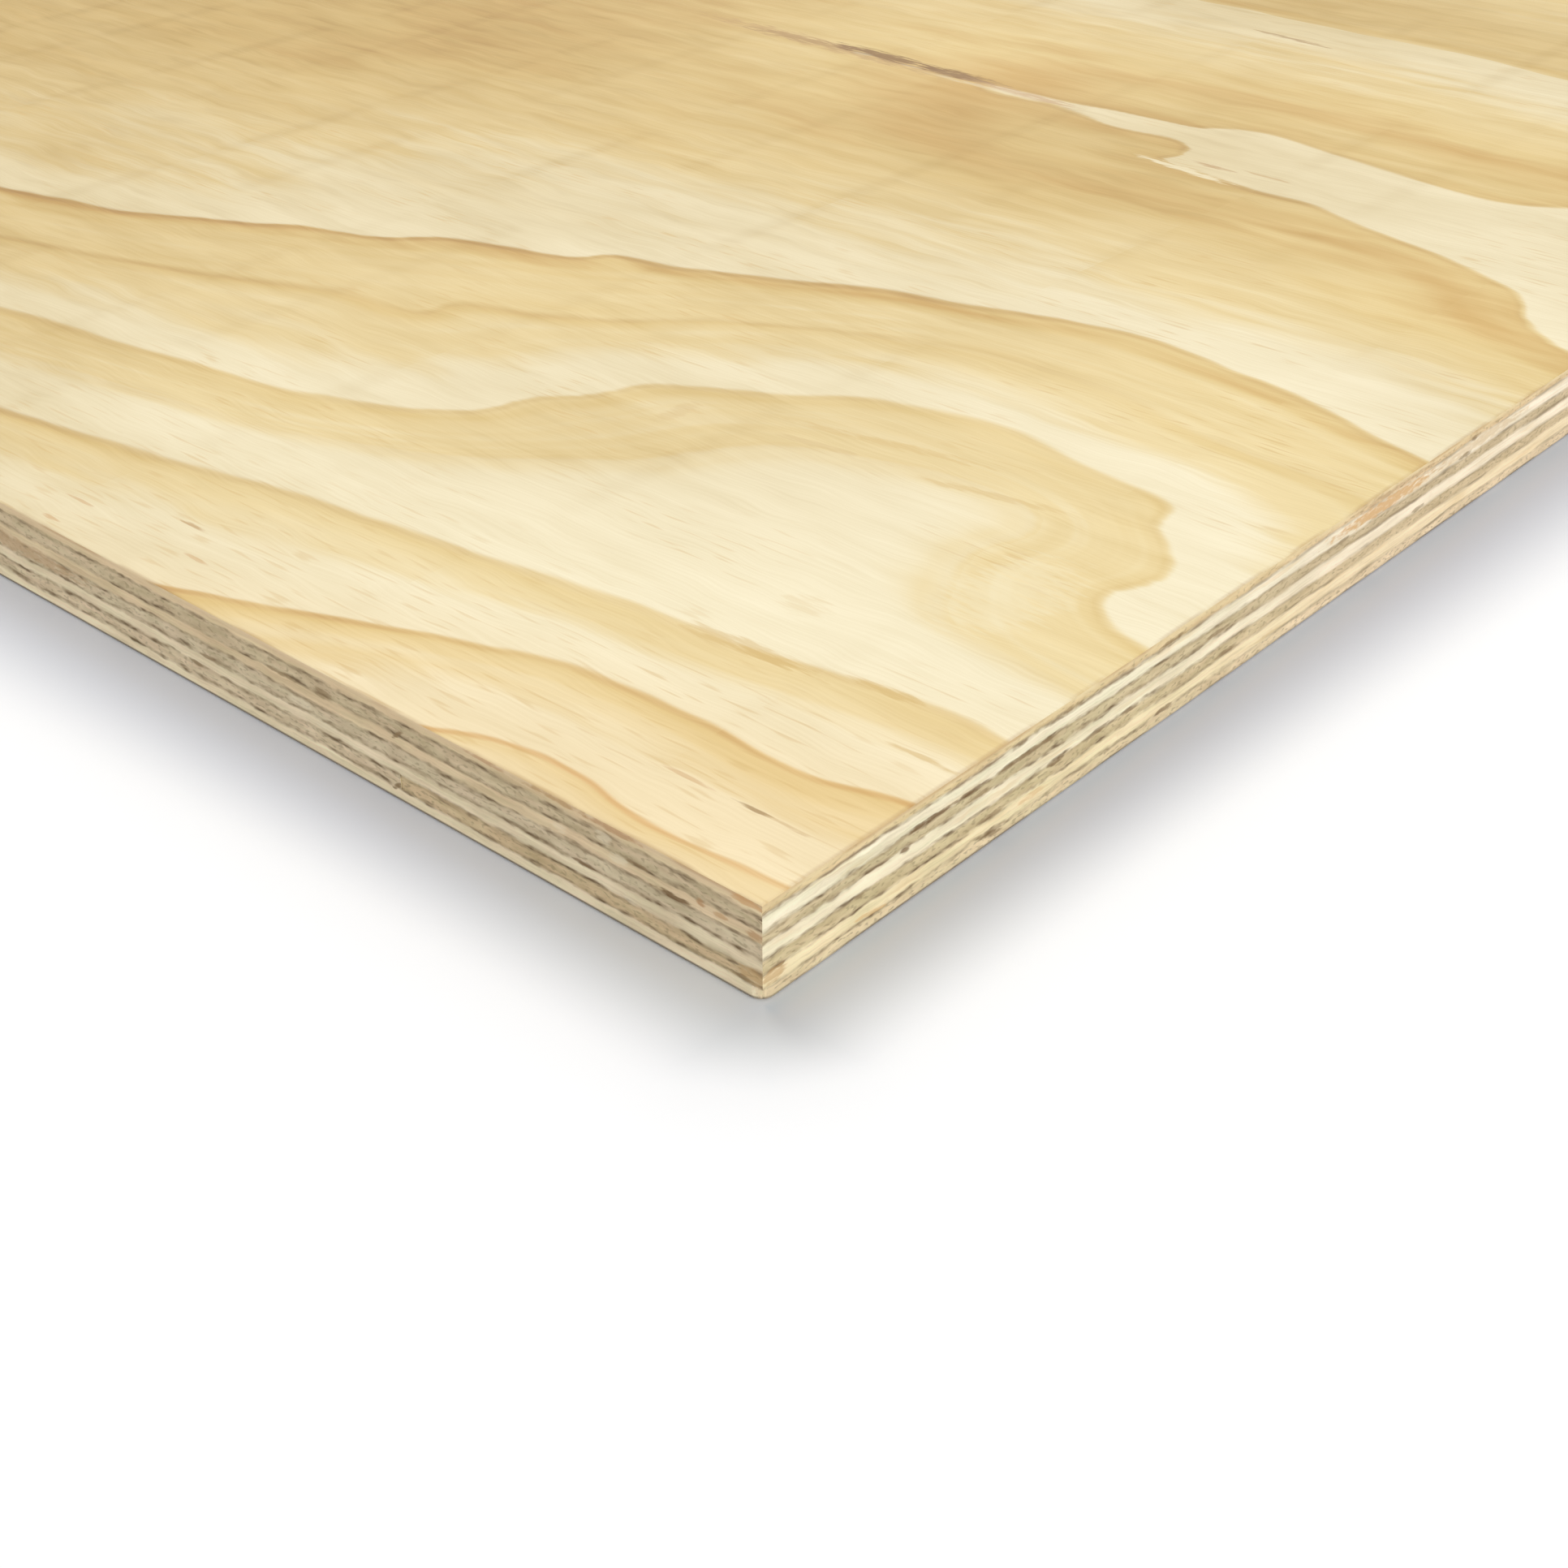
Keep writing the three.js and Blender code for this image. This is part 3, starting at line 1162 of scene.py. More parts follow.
    def build(self, place: Place, rings: RingField, marks: tuple[Mark, ...]) -> Surface:
        """Adds the finish to a graph.

        Args:
            place: where the point is.
            rings: the growth rings at the point.
            marks: the marks on this side.

        Returns:
            The surface.
        """
        graph = place.graph
        grain = self._grain(place)
        colour = self._flecked(place, rings, grain, self._wood(place, rings, grain))
        knifed = self._knife_marks(place) * (rings.brownness + self.knife_on_pale)
        colour = graph.shade(knifed * self.knife_strength, colour, self.brown_wash)
        colour = self._rubbed(place, colour)
        relief = mixed(self.reliefs_mm, grain.fibre, grain.broad, knifed)
        if marks:
            ragged = self.ragged.at(place.x, place.y) * self.raggedness
            for mark in marks:
                mask = mark.mask(place.u, place.v, ragged)
                colour = graph.blend(mask, colour, mark.colour)
                if mark.depth_mm > 0:
                    relief = relief - mask * mark.depth_mm
        return Surface(colour, self.roughness + grain.fibre * self.fibre_roughness, relief)


@dataclass(frozen=True)
class EdgePlace:
    """Where a point of a sawn edge lies among the plies.

    across is 1 on the ends and 0 on the long edges, run the distance along the edge, and far 1
    where an end turns soft and pale. level is the height once the plies wave, and share that as a
    share of the thickness.
    """

    across: Port
    run: Port
    far: Port
    level: Port
    share: Port


@dataclass(frozen=True)
class EdgeWood:
    """The wood of a sawn edge at a point: its colour, 1 on end grain, and its patterns about 0."""

    colour: Port
    end_grain: Port
    streak: Port
    mottle: Port
    patch: Port


@dataclass(frozen=True)
class SawnEdge:
    """The sawn edges, on which the plies show in turn as end grain and as long grain.

    The colours run from the lowest ply to the face veneer, on the long edges and on the ends, and
    so do the shifts, which say how far each glue line lies above the joint that it soaked from.
    Depths are below the top. A pair of lengths says where something begins and is complete.
    """

    length_colours: tuple[Colour, ...] = (
        linear(255, 241, 212), linear(231, 213, 185), linear(246, 231, 202), linear(222, 206, 178),
        linear(234, 213, 179), linear(216, 198, 167), linear(236, 214, 178),
    )
    across_colours: tuple[Colour, ...] = (
        linear(240, 223, 188), linear(255, 240, 202), linear(219, 202, 164), linear(255, 245, 217),
        linear(213, 197, 161), linear(255, 247, 221), linear(234, 211, 167),
    )
    length_shifts_mm: tuple[float, ...] = (0.25, -0.25, 0.25, -0.25, 0.25, -0.25)
    across_shifts_mm: tuple[float, ...] = (0.0, -0.2, 0.1, 0.0, 0.0, -0.15)
    glue: Colour = linear(160, 139, 110)
    dark_glue: Colour = linear(118, 98, 72)
    light_grain: Colour = (1.12, 1.12, 1.13)
    dark_grain: Colour = (0.82, 0.80, 0.75)
    olive_wash: Colour = (0.99, 1.0, 0.94)
    tan_wash: Colour = (1.01, 0.98, 0.94)
    far_wash: Colour = (1.03, 1.01, 1.06)
    pore: Colour = linear(146, 128, 98)
    resin: Colour = linear(236, 202, 144)
    long_arris: Colour = linear(232, 206, 168)
    end_arris: Colour = linear(240, 220, 174)
    rubbed_arris: Colour = linear(190, 148, 102)
    # Painted shadow: the dark line along the foot of the sawn edges, where the sheet meets the floor
    foot: Colour = linear(112, 102, 92)
    marks: dict[Side, tuple[Mark, ...]] = field(default_factory=lambda: EDGE_MARKS)
    roughness: float = 0.86
    mottle_roughness: float = 0.1

    # Which way a surface faces where the end's finish takes over, how far apart the patterns of
    # the two lie, how near the corner marks show, and where the end turns soft and pale
    turn: tuple[float, float] = (0.15, 0.85)
    end_shift_mm: float = 3000.0
    corner_mm: tuple[float, float] = (60.0, 20.0)
    far_mm: tuple[float, float] = (70.0, 190.0)

    # How the plies wave, how little of the quick waves is left far off, and a ply's soft border
    slow: Pattern = Pattern(22, 3, 51.0, 1)
    quick: Pattern = Pattern(4.5, 1.8, 53.0)
    wave_mm: float = 0.9
    far_calm: float = 0.6
    border_mm: float = 0.3

    # Grain: streaks on long grain, mottle on end grain, patches, tint, pores and veins of resin
    streak: Pattern = Pattern(24, 0.4, 61.0)
    mottle: Pattern = Pattern(4.5, 1.1, 63.0, roughness=0.55)
    mottle_share: float = 1.3
    patch: Pattern = Pattern(14, 2.2, 67.0, 1)
    patch_share: float = 1.2
    tint: Pattern = Pattern(9, 1.4, 69.0, 1, (0.3, 0.7))
    far_tint: float = 0.8
    pores: Pattern = Pattern(1.6, 0.6, 65.0, 1, (0.54, 0.74))
    pore_strength: float = 0.06
    end_pore_strength: float = 0.38
    vein: Pattern = Pattern(18, 1.5, 81.0, 1, (0.55, 0.8))
    vein_strength: float = 0.28

    # Glue: its half width, how much fainter it is far off, the topmost line on the ends, which is
    # evener, and the dashes, with the noise between which light and dark ones set in
    glue_half_mm: float = 0.75
    far_loss: float = 0.45
    topmost_depths_mm: tuple[float, float] = (3.2, 2.4)
    dash: Pattern = Pattern(5.5, 1.6, 71.0, roughness=0.6)
    far_dash: Pattern = Pattern(16, 1.6, 73.0)
    light_dash: tuple[float, float] = (0.34, 0.6)
    dark_dash: tuple[float, float] = (0.54, 0.72)
    light_shares: tuple[float, float] = (0.6, 0.2)
    light_base: float = 0.15
    dark_base: float = 0.9
    topmost_loss: float = 0.6

    # The upper arris, its rubbed rim, the painted contact shadow along the foot, raggedness of the
    # marks, and the depths of end grain, streaks and glue
    arris_depths_mm: tuple[float, float] = (1.4, 0.3)
    arris_base: float = 0.64
    arris_shares: tuple[float, float] = (-1.4, -0.8)
    rubbing: Pattern = Pattern(18, 1.0, 79.0, 2, (0.45, 0.65))
    rim_depths_mm: tuple[float, float] = (0.8, 0.1)
    rim_strength: float = 0.5
    foot_mm: tuple[float, float] = (0.5, 0.05)
    long_foot: float = 0.9
    end_foot: tuple[float, float] = (0.35, 0.5)
    ragged: Pattern = Pattern(2.5, 0.7, 37.0)
    raggedness: float = 2.4
    reliefs_mm: tuple[float, ...] = (0.12, 0.05, -0.12)

    def _by_ply(self, place: Place, share: Port, colours: tuple[Colour, ...]) -> Port:
        """The colour of the ply at a height.

        Args:
            place: where the point is.
            share: the height as a share of the thickness.
            colours: one for each ply.

        Returns:
            The colour.
        """
        sizes = place.sizes
        soft = sizes.share(self.border_mm)
        stops = [(0.0, colours[0])]
        for level, below, above in zip(sizes.glue_levels_mm, colours, colours[1:]):
            stops += [(sizes.share(level) - soft, below), (sizes.share(level) + soft, above)]
        return place.graph.ramp(share, stops)

    def _glue_mask(self, place: Place, share: Port, shifts_mm: tuple[float, ...]) -> Port:
        """1 in the middle of a glue line, falling to 0 beside it.

        Args:
            place: where the point is.
            share: the height as a share of the thickness.
            shifts_mm: how far each line lies above its joint.

        Returns:
            The mask.
        """
        sizes, graph = place.sizes, place.graph
        half = sizes.share(self.glue_half_mm)
        stops = [(0.0, BLACK)]
        for level, shift in zip(sizes.glue_levels_mm, shifts_mm):
            middle = sizes.share(level + shift)
            stops += [(middle - half, BLACK), (middle, WHITE), (middle + half, BLACK)]
        return graph.parts(graph.ramp(share, stops, "EASE"))[0]

    def _marked(
        self, place: Place, colour: Port, across: Port, span_mm: tuple[float, float]
    ) -> Port:
        """Adds the marks near the drawn corner.

        Args:
            place: where the point is.
            colour: the colour without them.
            across: 1 on the ends and 0 on the long edges.
            span_mm: the levels between which the veneer lies.

        Returns:
            The colour with those marks that reach this veneer.
        """
        u, v = place.u, place.v
        sides = {
            Side.LONG: (u, (1 - across) * v.step(*self.corner_mm)),
            Side.END: (v, across * u.step(*self.corner_mm)),
        }
        for side, (run, shown) in sides.items():
            ragged = self.ragged.at(run, place.z) * self.raggedness
            for mark in self.marks[side]:
                if mark.meets(*span_mm):
                    mask = mark.mask(run, place.z, ragged) * shown
                    colour = place.graph.blend(mask, colour, mark.colour)
        return colour

    def _edge_place(self, place: Place) -> EdgePlace:
        """Places a point among the plies.

        Args:
            place: where the point is.

        Returns:
            Its place on the edge.
        """
        across = place.facing_x.step(*self.turn)
        run = place.graph.lerp(across, place.x, place.y + self.end_shift_mm)
        far = across * place.v.step(*self.far_mm)
        quick = self.quick.at(run, place.z) * (1 - far * self.far_calm)
        level = place.z + (self.slow.at(run, place.z) + quick) * self.wave_mm
        return EdgePlace(across, run, far, level, level / place.sizes.thickness_mm)

    def _wood(self, place: Place, on: EdgePlace) -> EdgeWood:
        """The wood of the plies, without their glue.

        Args:
            place: where the point is.
            on: where it is on the edge.

        Returns:
            The wood.
        """
        graph, run, level = place.graph, on.run, on.level
        colour = graph.blend(
            on.across,
            self._by_ply(place, on.share, self.length_colours),
            self._by_ply(place, on.share, self.across_colours),
        )
        flags = tuple(WHITE if i % 2 else BLACK for i in range(len(self.length_colours)))
        crossband = graph.parts(self._by_ply(place, on.share, flags))[0]
        end_grain = graph.lerp(on.across, crossband, 1 - crossband)
        streak, mottle = self.streak.at(run, level), self.mottle.at(run, level)
        patch = self.patch.at(run, level)
        dark = graph.lerp(end_grain, streak, mottle * self.mottle_share)
        dark = dark + patch * self.patch_share + 0.5
        colour = graph.shade(1.0, colour, graph.blend(dark, self.light_grain, self.dark_grain))
        tint = self.tint.at(run, level).most(on.far * self.far_tint)
        colour = graph.shade(1.0, colour, graph.blend(tint, self.olive_wash, self.tan_wash))
        colour = graph.shade(on.far, colour, self.far_wash)
        porous = end_grain * self.end_pore_strength + self.pore_strength
        colour = graph.blend(self.pores.at(run, level) * porous, colour, self.pore)
        vein = self.vein.at(run, level) * (1 - end_grain) * on.across * self.vein_strength
        colour = graph.blend(vein, colour, self.resin)
        return EdgeWood(colour, end_grain, streak, mottle, patch)

    def _glued(self, place: Place, on: EdgePlace, colour: Port) -> tuple[Port, Port]:
        """Adds the glue lines.

        Args:
            place: where the point is.
            on: where it is on the edge.
            colour: the colour without them.

        Returns:
            The colour with them, and how far the glue has sunk, from 0 to 1.
        """
        graph = place.graph
        glue = graph.lerp(
            on.across,
            self._glue_mask(place, on.share, self.length_shifts_mm),
            self._glue_mask(place, on.share, self.across_shifts_mm),
        )
        glue = glue * (1 - on.far * self.far_loss)
        topmost = place.under_top(*self.topmost_depths_mm) * on.across
        dashes = (pattern.noise(on.run, place.z) for pattern in (self.dash, self.far_dash))
        dash = graph.lerp(on.far, *dashes)
        light = mixed(self.light_shares, dash.step(*self.light_dash), topmost) + self.light_base
        colour = graph.blend(glue * light, colour, self.glue)
        dark = dash.step(*self.dark_dash) * (self.dark_base - topmost * self.topmost_loss)
        return graph.blend(glue * dark, colour, self.dark_glue), glue * dash

    def build(self, place: Place, span_mm: tuple[float, float]) -> Surface:
        """Adds the finish to a graph.

        Args:
            place: where the point is.
            span_mm: the levels between which the veneer lies.

        Returns:
            The surface.
        """
        graph = place.graph
        on = self._edge_place(place)
        wood = self._wood(place, on)
        colour, sunk = self._glued(place, on, wood.colour)
        worn = mixed(self.arris_shares, wood.patch, wood.mottle) + self.arris_base
        arris = graph.blend(on.across, self.long_arris, self.end_arris)
        colour = graph.blend(place.under_top(*self.arris_depths_mm) * worn, colour, arris)
        rubbed = self.rubbing.at(on.run, 0.0)
        rim = place.under_top(*self.rim_depths_mm) * rubbed * self.rim_strength
        colour = graph.blend(rim, colour, self.rubbed_arris)
        colour = self._marked(place, colour, on.across, span_mm)
        # Painted contact shadow along the bottom half millimetre, full on the long edges and broken
        # by the rubbing on the ends
        plain, by_rubbing = self.end_foot
        foot_shadow = graph.lerp(on.across, self.long_foot, rubbed * by_rubbing + plain)
        colour = graph.blend(place.z.step(*self.foot_mm) * foot_shadow, colour, self.foot)
        relief = mixed(self.reliefs_mm, wood.mottle * wood.end_grain, wood.streak, sunk)
        return Surface(colour, self.roughness + wood.mottle * self.mottle_roughness, relief)


# What the face's mesh carries at its points, in the order of RingField
FACE_FIELDS = ("ring", "slope_along", "steepness", "brownness")


class Flat(Enum):
    """What a material covers: sawn edges only, the face only, or the edges and the back."""

    NONE = "none"
    FACE = "face"
    BACK = "back"


@dataclass(frozen=True)
class VeneerFinish:
    """The finish of one veneer: its sawn edges, its sanded face, or its edges and back.

    The back's rings are loops of noise, so many rings high and of one slope and steepness.
    """

    name: str
    flat: Flat = Flat.NONE
    edge: SawnEdge = field(default_factory=SawnEdge)
    pine: RotaryPine = field(default_factory=RotaryPine)
    back_loops: Pattern = Pattern(900, 170, 91.0, 1, roughness=0.4)
    back_brownness: Pattern = Pattern(600, 200, 93.0, 1, (0.2, 0.8))
    back_rings: float = 9.0
    back_slopes: tuple[float, float] = (0.003, 0.015)
    back_facing: tuple[float, float] = (0.35, 0.75)
    relief_strength: float = 0.6
    gloss: float = 0.15

    def _flat_surface(self, place: Place) -> Surface:
        """The flat side's surface.

        Args:
            place: where the point is.

        Returns:
            The surface.
        """
        if self.flat is Flat.FACE:
            attributes = (
                place.graph.node("ShaderNodeAttribute", {"attribute_name": name}, {}, "Fac")
                for name in FACE_FIELDS
            )
            return self.pine.build(place, RingField(*attributes), FACE_MARKS)
        loops = self.back_loops.noise(place.x, place.y) * self.back_rings
        brownness = self.back_brownness.at(place.x, place.y)
        return self.pine.build(place, RingField(loops, *self.back_slopes, brownness), ())

    def material(self, sizes: SheetSizes, span_mm: tuple[float, float]) -> bpy.types.Material:
        """Makes the material.

        Args:
            sizes: the sheet's sizes.
            span_mm: the levels between which the veneer lies.

        Returns:
            The material.
        """
        made = bpy.data.materials.new(self.name)
        graph = Graph(made)
        place = Place.of(graph, sizes)
        if self.flat is Flat.FACE:
            surface = self._flat_surface(place)
        else:
            surface = self.edge.build(place, span_mm)
        if self.flat is Flat.BACK:
            flat = self._flat_surface(place)
            mask = place.facing_z.step(*self.back_facing)
            surface = Surface(
                graph.blend(mask, surface.colour, flat.colour),
                graph.lerp(mask, surface.roughness, flat.roughness),
                graph.lerp(mask, surface.relief_mm, flat.relief_mm),
            )
        relief = {"Strength": self.relief_strength, "Distance": MM, "Height": surface.relief_mm}
        inputs = {
            "Base Color": surface.colour,
            "Roughness": surface.roughness,
            "Normal": graph.node("ShaderNodeBump", {}, relief),
            "Specular IOR Level": self.gloss,
        }
        graph.finish(graph.node("ShaderNodeBsdfPrincipled", {}, inputs))
        return made


# --- Pieces --------------------------------------------------------------------------------------


def stand(name: str, data: bpy.types.ID) -> bpy.types.Object:
    """Adds an object to the scene, at the origin.

    Args:
        name: its name.
        data: its mesh, lamp or camera.

    Returns:
        The object.
    """
    made = bpy.data.objects.new(name, data)
    bpy.context.scene.collection.objects.link(made)
    return made


@dataclass
class SandedFace:
    """The face veneer with its arrises eased, carrying its growth rings at its points.

    Its grid has cells of one size up to a distance from the drawn corner, then of the next.
    """

    sizes: SheetSizes
    bottom_mm: float
    grain: FaceGrain = field(default_factory=FaceGrain)
    cells_mm: tuple[tuple[float, float], ...] = ((240.0, 3.0), (640.0, 6.0), (2440.0, 16.0))
    arris_mm: float = 0.3
    bend_share: float = 0.3

    def _stations(self, half_mm: float) -> np.ndarray:
        """Places of the grid's lines along one axis.

        Args:
            half_mm: half the sheet's size along it.

        Returns:
            The places, rising, and closest together at the low end.
        """
        stations, start = [0.0], 0.0
        for end, cell in self.cells_mm:
            end = min(end, 2 * half_mm)
            stations += list(np.linspace(start, end, round((end - start) / cell) + 1)[1:])
            start = end
        return np.array(stations) - half_mm

    def _pulled_in(self, x: np.ndarray, y: np.ndarray, inset: float, level: float) -> np.ndarray:
        """Points at a level, kept an inset away from the sawn edges.

        Args:
            x: their places along the sheet.
            y: their places across it.
            inset: the least distance to a sawn edge.
            level: their height.

        Returns:
            The points, one to a row.
        """
        reach_x, reach_y = self.sizes.half_length_mm - inset, self.sizes.half_width_mm - inset
        kept = np.clip(x, -reach_x, reach_x), np.clip(y, -reach_y, reach_y)
        return np.stack([*kept, np.full(len(x), level)], 1)

    def _shape(self) -> tuple[np.ndarray, list[tuple[int, ...]], int]:
        """Lays the veneer out.

        Returns:
            Its points, its faces from the top down, and how many of them are its flat top and eased
            arris.
        """
        xs = -self._stations(self.sizes.half_length_mm)[::-1]
        ys = self._stations(self.sizes.half_width_mm)
        nx, ny = len(xs), len(ys)
        grid_x, grid_y = (axis.ravel() for axis in np.meshgrid(xs, ys, indexing="ij"))
        rim = [(i, 0) for i in range(nx)] + [(nx - 1, j) for j in range(1, ny)]
        rim += [(i, ny - 1) for i in range(nx - 2, -1, -1)] + [(0, j) for j in range(ny - 2, 0, -1)]
        rim = [i * ny + j for i, j in rim]
        count, ease, top = len(rim), self.arris_mm, self.sizes.thickness_mm
        bend = ease * self.bend_share
        insets = ((bend, top - bend), (0, top - ease), (0, self.bottom_mm))
        loops = [self._pulled_in(grid_x[rim], grid_y[rim], *inset) for inset in insets]
        middle = np.array([[0.0, 0.0, self.bottom_mm]])
        points = np.vstack([self._pulled_in(grid_x, grid_y, ease, top), *loops, middle])

        faces = [
            (i * ny + j, (i + 1) * ny + j, (i + 1) * ny + j + 1, i * ny + j + 1)
            for i in range(nx - 1)
            for j in range(ny - 1)
        ]
        flat_count = len(faces) + count
        rows = [rim] + [[nx * ny + k * count + n for n in range(count)] for k in range(len(loops))]
        for upper, lower in zip(rows, rows[1:]):
            for n in range(count):
                after = (n + 1) % count
                faces.append((upper[n], lower[n], lower[after], upper[after]))
        last, hub = rows[-1], len(points) - 1
        faces += [(hub, last[(n + 1) % count], last[n]) for n in range(count)]
        return points, faces, flat_count

    def build(self) -> bpy.types.Object:
        """Makes the veneer.

        Returns:
            Its object.
        """
        points, faces, flat_count = self._shape()
        mesh = bpy.data.meshes.new("sanded_face")
        mesh.from_pydata((points * MM).tolist(), [], faces)
        mesh.update()
        slots = (np.arange(len(faces)) >= flat_count).astype(np.int32)
        mesh.polygons.foreach_set("material_index", slots)
        u = self.sizes.half_length_mm - points[:, 0]
        v = points[:, 1] + self.sizes.half_width_mm
        along, across = self.grain.slopes(u, v)
        fields = (
            self.grain.rings(u, v), along, np.hypot(along, across), self.grain.brownness(u, v)
        )
        for name, values in zip(FACE_FIELDS, fields):
            layer = mesh.attributes.new(name, "FLOAT", "POINT")
            layer.data.foreach_set("value", values.astype(np.float32))
        LOG.info("sanded_face: %d faces, arrises eased %.1f mm", len(faces), self.arris_mm)
        return stand("sanded_face", mesh)


@dataclass
class ArrisSplinters:
    """Small splinters that the saw left lifted along an arris.

    Each is turned about the arris by up to full_turn and tilted by up to tilt, in radians, and is
    at least the least share of the full size.
    """

    name: str
    sizes: SheetSizes
    level_mm: float
    spacing_mm: float = 3.4
    length_mm: float = 1.5
    thickness_mm: float = 0.06
    inset_mm: float = 0.14
    corner_mm: float = 4.0
    seed: int = 7
    sides: int = 4
    tilt: float = 0.05
    full_turn: float = 6.28
    least: float = 0.35

    def _path(self) -> bpy.types.Object:
        """Draws the four runs that the splinters follow, each ending short of the corners.

        Returns:
            An object of four edges.
        """
        x = (self.sizes.half_length_mm - self.inset_mm) * MM
        y = (self.sizes.half_width_mm - self.inset_mm) * MM
        z = self.level_mm * MM
        short_x, short_y = x - self.corner_mm * MM, y - self.corner_mm * MM
        ends = [
            (-short_x, -y, z), (short_x, -y, z), (x, -short_y, z), (x, short_y, z),
            (short_x, y, z), (-short_x, y, z), (-x, short_y, z), (-x, -short_y, z),
        ]
        mesh = bpy.data.meshes.new(self.name)
        mesh.from_pydata(ends, [(i, i + 1) for i in range(0, len(ends), 2)], [])
        return stand(self.name, mesh)

    def _tree(self, material: bpy.types.Material) -> bpy.types.NodeTree:
        """Builds the node tree that scatters the splinters.

        Args:
            material: their finish.

        Returns:
            The tree.
        """
        tree = bpy.data.node_groups.new("splinters_along_arris", "GeometryNodeTree")
        faces = tree.interface
        faces.new_socket("Geometry", in_out="INPUT", socket_type="NodeSocketGeometry")
        for name in ("Spacing", "Length", "Thickness"):
            faces.new_socket(name, in_out="INPUT", socket_type="NodeSocketFloat")
        faces.new_socket("Seed", in_out="INPUT", socket_type="NodeSocketInt")
        faces.new_socket("Geometry", in_out="OUTPUT", socket_type="NodeSocketGeometry")
        add = partial(add_node, tree)
        given = add("NodeGroupInput", {}, {}).outputs
        curve = add("GeometryNodeMeshToCurve", {}, {0: given["Geometry"]})
        points = add(
            "GeometryNodeCurveToPoints", {"mode": "LENGTH"},
            {"Curve": curve.outputs[0], "Length": given["Spacing"]},
        )
        sliver = add(
            "GeometryNodeMeshCone", {},
            {"Vertices": self.sides, "Radius Bottom": given["Thickness"], "Depth": given["Length"]},
        )
        along = add(
            "FunctionNodeAlignRotationToVector", {"axis": "Z"}, {"Vector": points.outputs["Tangent"]}
        )
        lift = add(
            "FunctionNodeRandomValue", {"data_type": "FLOAT_VECTOR"},
            {
                0: (-self.tilt, -self.tilt, 0.0), 1: (self.tilt, self.tilt, self.full_turn),
                "Seed": given["Seed"],
            },
        )
        turn = add(
            "FunctionNodeRotateRotation", {"rotation_space": "LOCAL"},
            {"Rotation": along.outputs[0], "Rotate By": lift.outputs[0]},
        )
        size = add(
            "FunctionNodeRandomValue", {"data_type": "FLOAT"},
            {2: self.least, 3: 1.0, "Seed": given["Seed"]},
        )
        spread = add(
            "GeometryNodeInstanceOnPoints", {},
            {
                "Points": points.outputs["Points"], "Instance": sliver.outputs["Mesh"],
                "Rotation": turn.outputs[0], "Scale": size.outputs[1],
            },
        )
        real = add("GeometryNodeRealizeInstances", {}, {0: spread.outputs[0]})
        dressed = add("GeometryNodeSetMaterial", {}, {0: real.outputs[0], "Material": material})
        add("NodeGroupOutput", {}, {0: dressed.outputs[0]})
        return tree

    def build(self, material: bpy.types.Material) -> bpy.types.Object:
        """Makes the splinters.

        Args:
            material: their finish.

        Returns:
            One object that holds them all.
        """
        path = self._path()
        modifier = path.modifiers.new("splinters", "NODES")
        modifier.node_group = self._tree(material)
        wanted = {
            "Spacing": self.spacing_mm * MM, "Length": self.length_mm * MM,
            "Thickness": self.thickness_mm * MM, "Seed": self.seed,
        }
        for item in modifier.node_group.interface.items_tree:
            if item.in_out == "INPUT" and item.name in wanted:
                modifier[item.identifier] = wanted[item.name]
        evaluated = path.evaluated_get(bpy.context.evaluated_depsgraph_get())
        mesh = bpy.data.meshes.new_from_object(evaluated)
        path.modifiers.remove(modifier)
        path.data = mesh
        LOG.info("%s: %d faces", self.name, len(mesh.polygons))
        return path


@dataclass(frozen=True)
class SplinterFinish:
    """Bare wood fibre, darker and lighter in turn."""

    sizes: SheetSizes
    colour: Colour = linear(214, 184, 134)
    light: Colour = linear(236, 216, 172)
    specks: Pattern = Pattern(12, 12, 5.0)
    roughness: float = 0.8
    gloss: float = 0.2

    def material(self) -> bpy.types.Material:
        """Makes the material.

        Returns:
            The material.
        """
        made = bpy.data.materials.new("wood_fibre")
        graph = Graph(made)
        place = Place.of(graph, self.sizes)
        colour = graph.blend(self.specks.noise(place.x, place.y), self.colour, self.light)
        inputs = {"Base Color": colour, "Roughness": self.roughness, "Specular IOR Level": self.gloss}
        graph.finish(graph.node("ShaderNodeBsdfPrincipled", {}, inputs))
        return made


